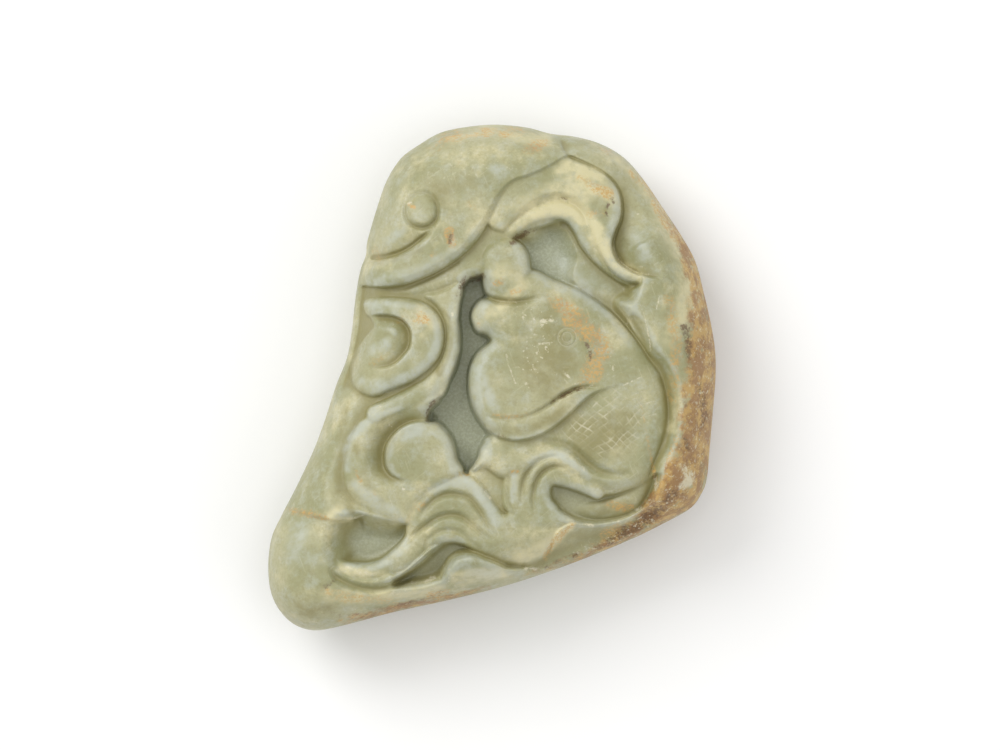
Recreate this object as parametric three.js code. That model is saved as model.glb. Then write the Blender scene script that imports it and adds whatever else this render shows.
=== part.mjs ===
// A jade pebble carved on one face with a carp under a fungus cap, two scroll waves and a
// swirling tail. It lies on its back with the carved face up. Millimetres, +Z up, the origin
// under the middle of the pebble where it rests.
import * as THREE from 'three';

// The pebble.
const LENGTH = 63.4;
const WIDTH = 56.1;
const EDGE_HEIGHT = 9; // the widest line, above the ground
const SHOULDER_RISE = 8.6; // from the widest line up to the carved face
const SHOULDER_REACH = 6.5; // how far in from the edge the shoulder goes
const FACE_CROWN = 2.8; // how far the middle of the face swells above the shoulder
const REST_PART = 0.45; // share of the outline's size that lies flat on the ground

// The carving.
const CARVING_DEPTH = 1; // all the depths below are multiplied by this
const CARVING_INSET = 1.2; // the carving fades out this close to the edge
const BLEND = 0.15; // how softly neighbouring forms meet
const CAP_LEVEL = 0.25;
const CAP_CROWN = 1.9;
const CAP_ROUNDING = 2.6;
const KNOB_DIAMETER = 3.6;
const KNOB_LEVEL = 0.25;
const KNOB_CROWN = 0.9;
const KNOB_WALL = 7.5;
const STEP_WIDTH = 0.18; // half of it is on each side of a step's line

// The facets.
const EDGE_FACETS = 112;
const BACK_RINGS = 7;
const FACE_POINTS = 3650;
const SAMPLE_ROWS = 460;
const JITTER = 0.35; // of a sample's spacing, so that no three samples are in line

// The drawing: points are [across, down] on a picture of the face with this many units in
// the pebble's width, and the rows that follow are written in its units.
const DRAWN_OUTLINE = [
  [497, 124], [527, 127], [550, 133], [577, 136.5], [602, 144], [625, 158], [645, 181],
  [662, 206], [682, 236], [696, 262], [704, 292], [711, 322], [715.5, 350], [716, 378],
  [713, 415], [710, 450], [708, 474], [704, 490], [692, 508], [668, 522], [638, 537],
  [608, 550], [570, 565], [530, 579], [490, 591], [440, 603], [390, 614], [345, 626],
  [312, 631.5], [288, 622], [272, 600], [267, 572], [270, 540], [280, 517], [295, 488],
  [312, 452], [324, 420], [335, 386], [346, 358], [351, 330], [354, 302], [359, 272],
  [365, 255], [366.5, 241], [376, 208], [386, 180], [400, 158], [418, 144.5], [440, 132],
  [468, 126],
];
const CURVE_STEPS = 5; // pieces of curve between two drawn points

const drawing = frameOfDrawing(DRAWN_OUTLINE);
const outline = trace(DRAWN_OUTLINE, true).reverse();
const pebbleLines = edgePoints(outline, EDGE_FACETS);

// Hollows, cut first: depth in millimetres, bank is half the width of the sloping side.
const WELLS = [
  // carved field
  well([
    [336, 282], [357, 283], [380, 284], [402, 281], [420, 275], [438, 266], [454, 256], [468, 244],
    [479, 230], [489, 214], [496, 201], [504, 190], [514, 182], [526, 178], [545, 170], [562, 160],
    [569, 157], [578, 160.5], [590, 166], [603, 173.5], [613, 183], [619, 194], [621, 207],
    [619.5, 220], [615, 231], [612, 243], [613.5, 253], [618, 262], [627, 269], [637, 274],
    [650, 279], [654, 288], [648, 300], [641, 320], [645, 340], [652, 357], [659, 369],
    [664.5, 383], [667.5, 401], [668, 418], [666.5, 435], [662, 451], [656, 466], [651, 481],
    [647, 495], [641, 509], [620, 516], [590, 522], [560, 530], [540, 560], [515, 566], [495, 560],
    [475, 548], [455, 538], [436, 542], [420, 558], [400, 570], [370, 572], [352, 570], [350, 558],
    [355, 545], [370, 521], [380, 500], [370, 420], [365, 400], [360, 380], [352, 330], [345, 300],
  ], { depth: 3.2, bank: 0.3 }),
  // scroll field
  well([
    [345, 292], [366, 291], [420, 293], [462, 280], [470, 300], [468, 400], [452, 500], [408, 528],
    [380, 520], [360, 513], [348, 505], [340, 494], [337, 480], [336, 462], [339, 445], [343, 430],
    [348, 412], [350, 402], [346, 392], [346, 380], [347, 360], [353, 330],
  ], { depth: 3.6, bank: 1.2 }),
  // deep well
  well([
    [470, 279], [482, 276], [520, 280], [535, 330], [530, 420], [505, 455], [478, 474], [466, 474],
    [458, 466], [440, 450], [427, 428], [427, 413], [431, 407], [438, 399.5], [445, 392],
    [450, 376], [455, 361], [459, 350], [457, 330], [459, 305], [462, 288],
  ], { depth: 9, bank: 0.35 }),
  // under the arch
  well([
    [511, 243], [519, 235], [531, 230.5], [545, 228], [560, 225], [574, 231], [588, 247],
    [600, 264], [611, 279], [622, 291], [640, 295], [656, 294], [652, 310], [650, 335], [653, 352],
    [640, 350], [600, 330], [540, 300], [505, 275],
  ], { depth: 3.6, bank: 0.9 }),
  // deep under the arch
  well([
    [506, 243], [516, 236], [531, 230.5], [542, 228.5], [554, 231], [563, 240], [568, 256],
    [580, 278], [596, 296], [580, 300], [545, 295], [505, 262],
  ], { depth: 7, bank: 1.3 }),
  // notch
  well([
    [626, 318], [634, 318], [642, 328], [649, 345], [652, 357], [644, 352], [632, 338],
  ], { depth: 5.4, bank: 0.5 }),
  // well below the scroll
  well([
    [346, 521], [358, 517.5], [370, 520], [390, 523], [412, 523], [420, 540], [400, 560],
    [370, 572], [350, 566], [341, 556], [339, 544], [341, 530],
  ], { depth: 5.2, bank: 0.6 }),
  // well below the tail
  well([
    [396, 583], [410, 570], [424, 558], [438, 545], [456, 538], [485, 548], [497, 562], [480, 562],
    [462, 560], [450, 566], [438, 577], [418, 583],
  ], { depth: 4.4, bank: 0.8 }),
  // body turn
  well([
    [548, 480], [563, 480], [586, 488], [609, 492], [640, 484], [656, 474], [653, 490], [644, 507],
    [630, 517], [610, 523], [590, 525], [570, 520], [556, 509], [549, 498],
  ], { depth: 4.4, bank: 0.7 }),
  // broken ground
  well([
    [548, 545], [566, 526], [590, 522], [620, 520], [642, 508], [655, 515], [630, 532], [590, 548],
    [555, 561], [530, 570], [536, 560],
  ], { depth: 2.6, bank: 1.4 }),
  // tail field
  well([
    [470, 470], [505, 445], [560, 440], [600, 470], [560, 520], [545, 560], [500, 566], [440, 545],
    [400, 572], [360, 574], [350, 565], [405, 520], [420, 480],
  ], { depth: 4.4, bank: 0.5 }),
];

const CAP = slab([
  [340, 282], [357, 285], [380, 287.5], [402, 285], [422, 278.5], [440, 270], [456, 260],
  [471, 247], [482, 233], [491, 217], [498, 203], [506, 191], [514, 183], [526, 178], [545, 169.5],
  [560, 160], [566, 152], [566, 140], [560, 128], [540, 100], [440, 90], [330, 130], [310, 220],
], { level: CAP_LEVEL, crown: CAP_CROWN, width: CAP_ROUNDING, wall: 9 });

const FISH = slab([
  [514, 243], [522, 247], [527, 254], [527.5, 262], [530, 269], [538, 272], [550, 278.5],
  [563, 284], [577, 289.5], [591, 298], [604, 307], [618, 319], [630, 332], [641, 346],
  [650, 359.5], [657.5, 371], [662.5, 385], [665.5, 402], [666, 418], [664.5, 434], [660, 450],
  [654, 465], [646, 480], [632, 488], [610, 490], [590, 485], [572, 478], [556, 470], [536, 470],
  [515, 478], [500, 478], [485, 468], [472, 471], [478, 458], [481, 447], [489, 438], [486, 430],
  [478, 418], [472, 404], [469, 388], [470, 370], [476, 356], [484, 348], [490.5, 341], [486, 335],
  [477, 331.5], [473, 323], [472.5, 313], [476, 305.5], [481, 301], [487.5, 298], [485, 290],
  [482.5, 278], [481, 264], [483, 255], [489, 248.5], [500, 244],
], { level: -0.9, crown: 2.6, width: 3.8, wall: 12 });

// Forms that stand up in the hollows. A ridge's rows are [across, down, half width, level],
// a slab's are its outline, and levels are millimetres from the face, down being negative.
const FORMS = [
  CAP,
  // lower band
  ridge([
    [366, 292, 3, -2.4], [385, 293, 3.5, -2.2], [402, 292.5, 4, -2.1], [420, 288, 6, -1.9],
    [438, 281, 8, -1.8], [455, 272, 10, -1.7], [470, 263, 13, -1.7], [484, 250, 15, -1.6],
    [496, 236, 15, -1.5],
  ], { crown: 1.2, wall: 9 }),
  // arch root
  slab([
    [452, 276], [463, 262], [475, 250], [485, 236], [494, 220], [501, 206], [508, 194], [516, 185],
    [530, 190], [545, 205], [560, 218], [545, 226], [531, 230], [519, 235], [512, 242], [512, 252],
    [500, 262], [484, 274], [470, 278], [460, 284],
  ], { level: -1.6, crown: 1.4, width: 1.6, wall: 9 }),
  // arch inner band
  ridge([
    [508, 232, 8, -1.7], [523, 221, 8, -1.5], [540, 212, 10, -1.4], [558, 209, 11, -1.4],
    [573, 214, 11, -1.4], [583, 226, 11, -1.4], [592, 241, 12, -1.5], [604, 257, 11, -1.8],
    [618, 271, 9, -2.1], [634, 281, 8, -2.3], [650, 286, 7, -2.6],
  ], { crown: 1.5, wall: 9 }),
  // arch outer band
  slab([
    [497, 222], [502, 206], [508, 193], [513, 180], [525, 168], [545, 158], [560, 150],
    [575, 158.5], [591, 164], [604.5, 171.5], [615, 182], [621, 193], [623, 207], [621.5, 220],
    [617, 231], [614, 243], [615.5, 252], [620, 260], [628, 267], [638, 272], [651, 276],
    [650, 284], [628, 282], [612, 272], [600, 255], [592, 240], [587, 224], [580, 210], [570, 203],
    [556, 200], [542, 204], [528, 211], [513, 221], [502, 232],
  ], { level: -0.55, crown: 1.4, width: 1.7, wall: 9 }),
  // plate
  slab([
    [424, 296], [440, 292], [458, 284], [462, 290], [459, 305], [457, 330], [459, 350], [455, 362],
    [450, 377], [444, 393], [437, 400], [429, 408], [426, 416], [412, 410], [420, 395], [440, 375],
    [450, 350], [446, 325], [436, 306],
  ], { level: -2.2, crown: 0.8, width: 0.8, wall: 14 }),
  // outer band
  ridge([
    [452, 322, 5, -2.1], [452, 345, 6, -2], [446, 367, 7, -1.9], [433, 385, 9, -1.8],
    [416, 397, 10, -1.6], [396, 406, 9, -1.4], [376, 415, 9, -1.3],
  ], { crown: 1.2, wall: 9 }),
  // scroll 1
  slab([
    [362, 305], [366, 299.5], [378, 298], [396, 298.3], [412, 300], [422, 303], [431, 308],
    [437.5, 315], [441.5, 323], [443.5, 333], [443, 345], [439, 357], [431, 366.5], [421, 375],
    [410, 382.5], [398, 387.5], [387, 391], [379, 395.5], [370, 396.5], [360, 392], [352, 384],
    [349.5, 373], [351.5, 360], [356, 348], [363, 339], [371, 331], [374, 325], [370, 318],
    [364.5, 313],
  ], { level: -0.9, crown: 1.7, width: 2, wall: 9 }),
  // scroll 2
  slab([
    [428, 422], [437, 424.5], [444, 430.5], [450, 439], [453.5, 449], [456, 460], [462, 472],
    [450, 482], [430, 492], [416, 508], [408, 524], [390, 521.5], [375, 518], [362, 510],
    [350, 499], [343, 487], [340.5, 474], [343, 459], [346.5, 446], [351, 434], [357, 424],
    [367, 416.5], [382, 410], [398, 403.5], [412, 398], [426, 394], [436, 394], [438, 400],
    [431, 407], [427, 413],
  ], { level: -1.2, crown: 1.7, width: 2, wall: 9 }),
  // left bump
  ridge([
    [342, 402, 4, -2.2], [338, 412, 6, -1.6], [337, 424, 7, -1.3], [339, 436, 6, -1.5],
    [342, 446, 4, -2],
  ], { crown: 1, wall: 7 }),
  FISH,
  // upper lip
  ridge([
    [505, 262, 23.5, -0.5], [507, 272, 23, -0.5], [510, 281, 22, -0.6], [516, 292, 16, -0.8],
    [524, 306, 10, -1],
  ], { crown: 2.3, wall: 12 }),
  // lower lip
  ridge([
    [489, 317, 17, -0.9], [500, 319, 17, -0.8], [520, 324, 17, -0.7],
  ], { crown: 1.8, wall: 12 }),
  // breast
  slab([
    [490, 436], [520, 438], [545, 440], [540, 460], [515, 480], [508, 506], [490, 492], [480, 482],
    [468, 474], [477, 462], [481, 449],
  ], { level: -3.6, crown: 0.8, width: 1.2, wall: 9 }),
  // body end
  ridge([
    [570, 507, 8, -3.9], [588, 511, 11, -3.4], [606, 511, 12, -3], [624, 505, 12, -2.7],
    [638, 494, 11, -2.5], [648, 479, 9, -2.4],
  ], { crown: 1.4, wall: 9 }),
  // tail web
  slab([
    [506, 513.5], [497, 507], [491, 499], [484.5, 487.5], [475.5, 478.5], [466, 474.5], [457, 473],
    [446, 475], [437, 478.5], [425, 486], [415.5, 495], [408.5, 505], [405.3, 515], [405.5, 526],
    [404.5, 536], [397.5, 545.5], [388, 556], [373, 562.5], [358, 564], [346, 562], [339, 560],
    [336, 567], [333.5, 573], [345, 579], [360, 583], [376, 584], [388, 582], [400.5, 576],
    [414, 565.5], [422, 558], [430, 550], [440, 545], [452.5, 543], [463, 545.6], [475.5, 553],
    [488, 561], [501, 567], [516, 570], [530, 570], [542, 563], [545.5, 557], [548.5, 549.5],
    [552.5, 542.5], [559, 540], [562, 536.5], [565.5, 531], [567.5, 526], [576, 522.5], [563, 514],
    [552, 500], [535, 490], [520, 500],
  ], { level: -1.7, crown: 1.5, width: 1.5, wall: 9 }),
  // tail tip
  ridge([
    [338, 568, 8, -2.6], [352, 572, 9, -2.2], [370, 573, 10, -1.9], [387, 569, 11.5, -1.7],
    [402, 558, 12, -1.6], [416, 544, 12, -1.6],
  ], { crown: 1.2, wall: 9 }),
  // fin
  slab([
    [504, 508], [502, 494], [503, 480], [508, 467], [517, 458], [529, 451.5], [544, 447.5],
    [560, 447.5], [570, 452], [578, 460], [585, 469], [594, 475.5], [604, 480], [604, 494],
    [597, 499], [586, 495], [574, 490.5], [563, 487], [553, 486], [550.5, 490], [551, 498],
    [556.5, 507], [564, 513.5], [576, 522], [560, 530], [540, 530], [520, 525],
  ], { level: -1.6, crown: 1.4, width: 1.3, wall: 9 }),
  // fin end
  ridge([
    [575, 472, 10, -1.9], [592, 484, 9.5, -2.2], [608, 488, 8, -2.5], [625, 486, 6, -2.8],
    [642, 480, 4, -3.1],
  ], { crown: 1.2, wall: 9 }),
  // pad
  slab([
    [450, 568], [457, 560], [470, 557], [485, 561], [500, 567], [510, 574], [508, 584], [480, 600],
    [440, 610], [440, 585],
  ], { level: 0.1, crown: 0.6, width: 1, wall: 3 }),
];

// Carved lines, cut last: rows are [across, down, half width, depth].
const GROOVES = [
  // cap volute
  groove([
    [360, 257, 8, 1.1], [377, 258.5, 10, 1.5], [394, 255.5, 11, 1.6], [409, 249, 11, 1.6],
    [422, 239.5, 11, 1.7], [431.5, 229, 10, 1.8], [437.5, 218, 10, 1.8], [439, 206, 10, 1.5],
    [436.5, 196, 10, 1], [430, 188, 10, 0.5], [420, 183, 10, 0.1],
  ]),
  // knob ring
  groove([
    [408, 194, 5, 0.1], [403.5, 203, 6, 0.4], [404, 214, 7, 0.7], [410.5, 223, 8, 1.1],
    [421, 227.5, 8, 1.3], [431, 224, 7, 1.2],
  ]),
  // arch line
  groove([
    [516, 216, 4, 0.1], [528, 208, 5, 0.4], [543, 200, 6, 0.8], [556, 197, 6, 1],
    [568, 199.5, 6, 1], [578, 206, 6, 0.8], [585, 214, 6, 0.5], [590, 222, 5, 0.1],
  ]),
  // mouth line
  groove([
    [486, 297, 4, 1.2], [498, 301, 5, 1.3], [515, 302, 5, 1.1], [530, 300, 5, 0.6],
    [542, 297, 5, 0.1],
  ]),
  // gill line
  groove([
    [486, 416, 2.5, 0.1], [495, 418.5, 3, 0.3], [510, 419, 3, 0.35], [525, 417, 3, 0.4],
    [538, 411.5, 3, 0.5], [550, 404, 3, 0.7], [562, 395, 3.2, 0.9], [575, 389, 3.2, 0.9],
    [586, 387, 3, 0.6], [597, 388, 2.5, 0.1],
  ]),
  // belly shade
  groove([
    [545, 441, 6, 0.3], [562, 444, 7, 0.7], [576, 453, 8, 1], [588, 464, 9, 1.2], [601, 472, 8, 1],
    [616, 475, 6, 0.5], [630, 474, 4, 0.1],
  ]),
  // tail groove 1
  groove([
    [420, 516, 4, 0.1], [426, 507.5, 5, 0.6], [434, 499.5, 5.5, 0.8], [446, 494.5, 5.5, 0.8],
    [458.5, 495, 5.5, 0.8], [469, 498.5, 5.5, 0.8], [476, 506.5, 5.5, 0.8], [483, 517, 5, 0.7],
    [489.5, 528, 4.5, 0.4], [495, 536, 4, 0.1],
  ]),
  // tail groove 2
  groove([
    [404, 546, 3, 0.1], [415, 534, 5, 0.6], [425, 526, 5.5, 0.8], [437, 518, 5.5, 0.8],
    [449, 515, 5.5, 0.8], [461, 517, 5.5, 0.8], [471, 524.5, 5, 0.7], [481, 533.5, 4.5, 0.5],
    [490, 540, 4, 0.1],
  ]),
  // tail groove 3
  groove([
    [424, 548, 3, 0.1], [430, 538, 4, 0.35], [441, 531.5, 4, 0.45], [452, 530.5, 4, 0.45],
    [461, 534, 4, 0.4], [470, 542, 4, 0.3], [481, 549, 3, 0.1],
  ]),
  // fin groove 1
  groove([
    [521, 502, 3, 0.1], [521.5, 490, 4, 0.6], [523, 481, 4.5, 0.8], [527, 472.5, 4.5, 0.8],
    [534.5, 464, 4.5, 0.7], [544, 458.8, 4, 0.5], [556, 456, 3, 0.1],
  ]),
  // fin groove 2
  groove([
    [534, 512, 3, 0.1], [532.5, 500, 4, 0.5], [534, 488, 4.5, 0.8], [537.5, 478, 5, 1],
    [544.5, 470.5, 5, 0.9], [555, 466.5, 4, 0.6], [566, 468, 3, 0.1],
  ]),
  // fin groove 3
  groove([
    [512, 514, 3, 0.1], [507.5, 502, 3.5, 0.5], [506.5, 488, 3.5, 0.4], [510, 475, 3, 0.1],
  ]),
  // foot crease
  groove([
    [333, 573, 4, 0.3], [340, 577, 5, 0.8], [350, 583, 5, 0.6], [364, 588, 5, 0.1],
  ]),
];

// Steps: the low side is on the left of the line, and it heals over the row's reach.
// Rows are [across, down, reach, depth].
const STEPS = [
  // behind the stem
  groove([
    [548, 122, 10, 0.4], [554, 134, 11, 0.6], [560, 141, 14, 0.8], [563, 150, 17, 0.9],
    [569, 157, 14, 0.6], [578, 160.5, 12, 0.4], [590, 166, 14, 0.5], [603, 173.5, 22, 0.9],
    [613, 183, 32, 1.6], [619, 194, 40, 2.3], [621, 207, 44, 2.7], [619.5, 220, 46, 3],
    [615, 231, 48, 3.3], [612, 243, 50, 3.5], [613.5, 253, 48, 3.4], [618, 262, 44, 3.1],
    [627, 269, 38, 2.6], [637, 274, 32, 2], [650, 277.5, 24, 1.2], [662, 279, 20, 0.1],
  ]),
  // scroll 1 throat
  groove([
    [362, 368, 10, 0.1], [374, 368.5, 14, 0.5], [386, 367.5, 18, 1], [395, 363.5, 20, 1.3],
    [403, 356, 21, 1.5], [408.5, 349, 21, 1.6], [410.5, 340, 20, 1.7], [409.5, 330, 18, 1.8],
    [403, 321, 16, 1.8], [393, 316.5, 15, 1.7], [380, 315, 15, 1.6], [366, 314.5, 14, 1.4],
    [352, 315, 12, 1.2],
  ]),
  // scroll 2 throat
  groove([
    [405, 480, 8, 0.1], [397, 478, 12, 0.9], [389.5, 473.5, 18, 1.6], [385, 466, 22, 2.1],
    [384, 456, 24, 2.3], [385.5, 447, 24, 2.3], [390, 438.5, 23, 2.2], [397, 431, 20, 2],
    [406, 425, 18, 1.8], [416, 422, 15, 1.5], [428, 422, 12, 1.2],
  ]),
  // ledge
  groove([
    [364, 516, 12, 0.2], [356, 519, 18, 1], [346, 521.5, 24, 1], [335, 521, 28, 0.7],
    [320, 518, 30, 0.45], [304, 514, 28, 0.25], [290, 511, 24, 0.1],
  ]),
];
const BACK_STEP = groove([
  [632, 332, 8, 0.4], [641, 346, 12, 1.6], [650, 359.5, 15, 2.6], [657.5, 371, 17, 3.1],
  [662.5, 385, 18, 3.4], [665.5, 402, 18, 3.5], [666, 418, 17, 3.3], [664.5, 434, 16, 3],
  [660, 450, 14, 2.6], [654, 465, 12, 2.4], [649, 480, 12, 2.4], [645, 494, 12, 2.4],
  [639, 508, 12, 2], [630, 520, 12, 0.6],
]);
const GILL_STEP = groove([
  [612, 387, 20, 0.1], [598, 391.5, 28, 0.5], [588, 397, 32, 0.8], [578, 405.5, 36, 1],
  [568, 415, 38, 1], [557, 424.5, 38, 1], [545, 432.5, 38, 0.95], [530, 438.5, 36, 0.9],
  [515, 440.5, 34, 0.8], [500, 438, 32, 0.8], [487, 431, 30, 0.7],
]);
const KNOB_CENTRE = toPebble([420.5, 210.5]);

const CARVING = new THREE.Group();
const stone = new THREE.MeshStandardMaterial({ color: 0xbdbf98, roughness: 0.42, metalness: 0 });
const carving = new THREE.Mesh(pebble(), stone);
carving.name = 'jade_carving';
CARVING.add(carving);

// From the drawing to the pebble.

function frameOfDrawing(points) {
  const curve = smoothCurve(points, true);
  const across = curve.map((p) => p[0]);
  const down = curve.map((p) => p[1]);
  const left = Math.min(...across);
  const right = Math.max(...across);
  const top = Math.min(...down);
  const bottom = Math.max(...down);
  return {
    middle: [(left + right) / 2, (top + bottom) / 2],
    unitAcross: WIDTH / (right - left),
    unitDown: LENGTH / (bottom - top),
  };
}

function toPebble([across, down]) {
  return [
    (across - drawing.middle[0]) * drawing.unitAcross,
    (drawing.middle[1] - down) * drawing.unitDown,
  ];
}

// A Catmull-Rom curve through rows of numbers, as points close together.
function smoothCurve(rows, closed) {
  const count = rows.length;
  const row = (i) => (closed ? rows[(i + count) % count] : rows[Math.min(Math.max(i, 0), count - 1)]);
  const points = [];
  for (let i = 0; i < (closed ? count : count - 1); i += 1) {
    const [a, b, c, d] = [row(i - 1), row(i), row(i + 1), row(i + 2)];
    for (let k = 0; k < CURVE_STEPS; k += 1) {
      const t = k / CURVE_STEPS;
      points.push(b.map((value, j) => 0.5 * (2 * value + (c[j] - a[j]) * t
        + (2 * a[j] - 5 * value + 4 * c[j] - d[j]) * t * t
        + (3 * value - a[j] - 3 * c[j] + d[j]) * t ** 3)));
    }
  }
  if (!closed) points.push(rows[count - 1]);
  return points;
}

// The same curve in millimetres; a third number in a row is a length, a fourth stays as it is.
function trace(rows, closed = false) {
  const unit = (drawing.unitAcross + drawing.unitDown) / 2;
  return smoothCurve(rows, closed).map(([across, down, size = 0, value = 0]) => (
    [...toPebble([across, down]), size * unit, value]
  ));
}

// Shapes of the carving.

function bounded(line, closed, margin, shape) {
  const xs = line.map((p) => p[0]);
  const ys = line.map((p) => p[1]);
  return {
    ...shape,
    line,
    closed,
    box: [Math.min(...xs) - margin, Math.max(...xs) + margin,
      Math.min(...ys) - margin, Math.max(...ys) + margin],
  };
}

function well(rows, shape) {
  return bounded(trace(rows, true), true, shape.bank, shape);
}

function slab(rows, shape) {
  return bounded(trace(rows, true), true, CARVING_INSET, { ...shape, kind: 'slab' });
}

function ridge(rows, shape) {
  const line = trace(rows);
  const widest = Math.max(...line.map((p) => p[2]));
  return bounded(line, false, widest + CARVING_INSET, { ...shape, kind: 'ridge' });
}

function groove(rows) {
  const line = trace(rows);
  return bounded(line, false, Math.max(...line.map((p) => p[2])), {});
}


function reaches(shape, x, y) {
  const [left, right, low, high] = shape.box;
  return x > left && x < right && y > low && y < high;
}

// The nearest point of a line: its distance, the row's size and value there, and the side
// of the line that (x, y) is on, positive on the left.
function nearest(line, closed, x, y) {
  let best = Infinity;
  let size = 0;
  let value = 0;
  let side = 0;
  const count = closed ? line.length : line.length - 1;
  for (let i = 0; i < count; i += 1) {
    const a = line[i];
    const b = line[(i + 1) % line.length];
    const dx = b[0] - a[0];
    const dy = b[1] - a[1];
    const along = ((x - a[0]) * dx + (y - a[1]) * dy) / Math.max(dx * dx + dy * dy, 1e-12);
    const t = Math.min(Math.max(along, 0), 1);
    const ex = x - a[0] - t * dx;
    const ey = y - a[1] - t * dy;
    const distance = ex * ex + ey * ey;
    if (distance < best) {
      best = distance;
      size = a[2] + t * (b[2] - a[2]);
      value = a[3] + t * (b[3] - a[3]);
      side = dx * ey - dy * ex;
    }
  }
  return { distance: Math.sqrt(best), size, value, side };
}

// How far inside a closed line a point is; outside it is negative.
function depthInside(line, x, y) {
  let within = false;
  for (let i = 0; i < line.length; i += 1) {
    const a = line[i];
    const b = line[(i + 1) % line.length];
    const crosses = (a[1] > y) !== (b[1] > y);
    if (crosses && x < ((b[0] - a[0]) * (y - a[1])) / (b[1] - a[1]) + a[0]) within = !within;
  }
  const { distance } = nearest(line, true, x, y);
  return within ? distance : -distance;
}

function clamp(value) {
  return Math.min(Math.max(value, 0), 1);
}

function ease(value) {
  const t = clamp(value);
  return t * t * (3 - 2 * t);
}

// A quarter round: 0 at the far end of the rounding, 1 at the very edge.
function roundOver(fromEdge) {
  return 1 - Math.sqrt(clamp(1 - (1 - clamp(fromEdge)) ** 2));
}

function softMax(a, b) {
  const h = clamp(0.5 + (0.5 * (a - b)) / BLEND);
  return b + (a - b) * h + BLEND * h * (1 - h);
}

function levelOf(form, x, y) {
  if (form.kind === 'slab') {
    const depth = depthInside(form.line, x, y);
    const level = form.level - form.crown * roundOver(depth / form.width);
    return depth >= 0 ? level : level + depth * form.wall;
  }
  const { distance, size, value } = nearest(form.line, false, x, y);
  const level = value - form.crown * roundOver(1 - distance / size);
  return distance <= size ? level : level - (distance - size) * form.wall;
}

function stepDown(step, x, y) {
  if (!reaches(step, x, y)) return 0;
  const { distance, size, value, side } = nearest(step.line, false, x, y);
  if (side <= 0) return value * ease(0.5 - distance / STEP_WIDTH);
  return value * ease(distance / STEP_WIDTH + 0.5) * (1 - ease(distance / Math.max(size, 0.03)));
}

function knobLevel(x, y) {
  const t = Math.hypot(x - KNOB_CENTRE[0], y - KNOB_CENTRE[1]) / (KNOB_DIAMETER / 2);
  const level = KNOB_LEVEL - KNOB_CROWN * roundOver(1 - t);
  return t <= 1 ? level : level - (t - 1) * KNOB_WALL * (KNOB_DIAMETER / 2);
}

// Height of the carving against the pebble's own face; the hollows are negative.
function relief(x, y) {
  let level = 0;
  for (const hollow of WELLS) {
    if (!reaches(hollow, x, y)) continue;
    const bank = (depthInside(hollow.line, x, y) + hollow.bank) / (2 * hollow.bank);
    level = Math.min(level, -hollow.depth * ease(bank));
  }
  level = Math.min(level, -stepDown(BACK_STEP, x, y));
  for (const form of FORMS) {
    if (!reaches(form, x, y)) continue;
    const drop = form === FISH ? stepDown(GILL_STEP, x, y) : 0;
    level = softMax(level, levelOf(form, x, y) - drop);
  }
  for (const line of GROOVES) {
    if (!reaches(line, x, y)) continue;
    const { distance, size, value } = nearest(line.line, false, x, y);
    level -= value * (1 - ease(distance / size));
  }
  for (const step of STEPS) level -= stepDown(step, x, y);
  return softMax(level, knobLevel(x, y));
}

// Height of the carved face above the ground.
function faceHeight(x, y) {
  const inset = Math.max(depthInside(outline, x, y), 0);
  const shoulder = Math.sqrt(1 - (1 - clamp(inset / SHOULDER_REACH)) ** 2);
  const middle = clamp(1 - (x / (WIDTH / 2)) ** 2 - (y / (LENGTH / 2)) ** 2);
  const crown = FACE_CROWN * middle * ease(inset / (SHOULDER_REACH / 2));
  const carved = CARVING_DEPTH * relief(x, y) * ease(inset / CARVING_INSET);
  return EDGE_HEIGHT + SHOULDER_RISE * shoulder + crown + carved;
}

function backHeight(fraction) {
  const fromRest = clamp((fraction - REST_PART) / (1 - REST_PART));
  return EDGE_HEIGHT * (1 - Math.sqrt(1 - fromRest ** 2));
}

// The pebble is meshed on a disc: a point's angle picks a place on the outline, and its
// radius how far out it lies. The sine turns the facets upright at the widest line.

function edgePoints(line, count) {
  const lengths = [0];
  for (let i = 0; i < line.length; i += 1) {
    const [a, b] = [line[i], line[(i + 1) % line.length]];
    lengths.push(lengths[i] + Math.hypot(b[0] - a[0], b[1] - a[1]));
  }
  const total = lengths[line.length];
  const points = [];
  let i = 0;
  for (let k = 0; k < count; k += 1) {
    const wanted = (total * k) / count;
    while (lengths[i + 1] < wanted) i += 1;
    const [a, b] = [line[i], line[(i + 1) % line.length]];
    const t = (wanted - lengths[i]) / (lengths[i + 1] - lengths[i]);
    points.push([a[0] + t * (b[0] - a[0]), a[1] + t * (b[1] - a[1])]);
  }
  return points;
}

function onPebble(p, q) {
  const turn = Math.atan2(q, p) / (2 * Math.PI);
  const place = (turn < 0 ? turn + 1 : turn) * EDGE_FACETS;
  const index = Math.min(Math.floor(place), EDGE_FACETS - 1);
  const [a, b] = [pebbleLines[index], pebbleLines[(index + 1) % EDGE_FACETS]];
  const t = place - index;
  const out = Math.sin((Math.min(Math.hypot(p, q), 1) * Math.PI) / 2);
  const x = out * (a[0] + t * (b[0] - a[0]));
  const y = out * (a[1] + t * (b[1] - a[1]));
  return [x, y];
}

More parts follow.
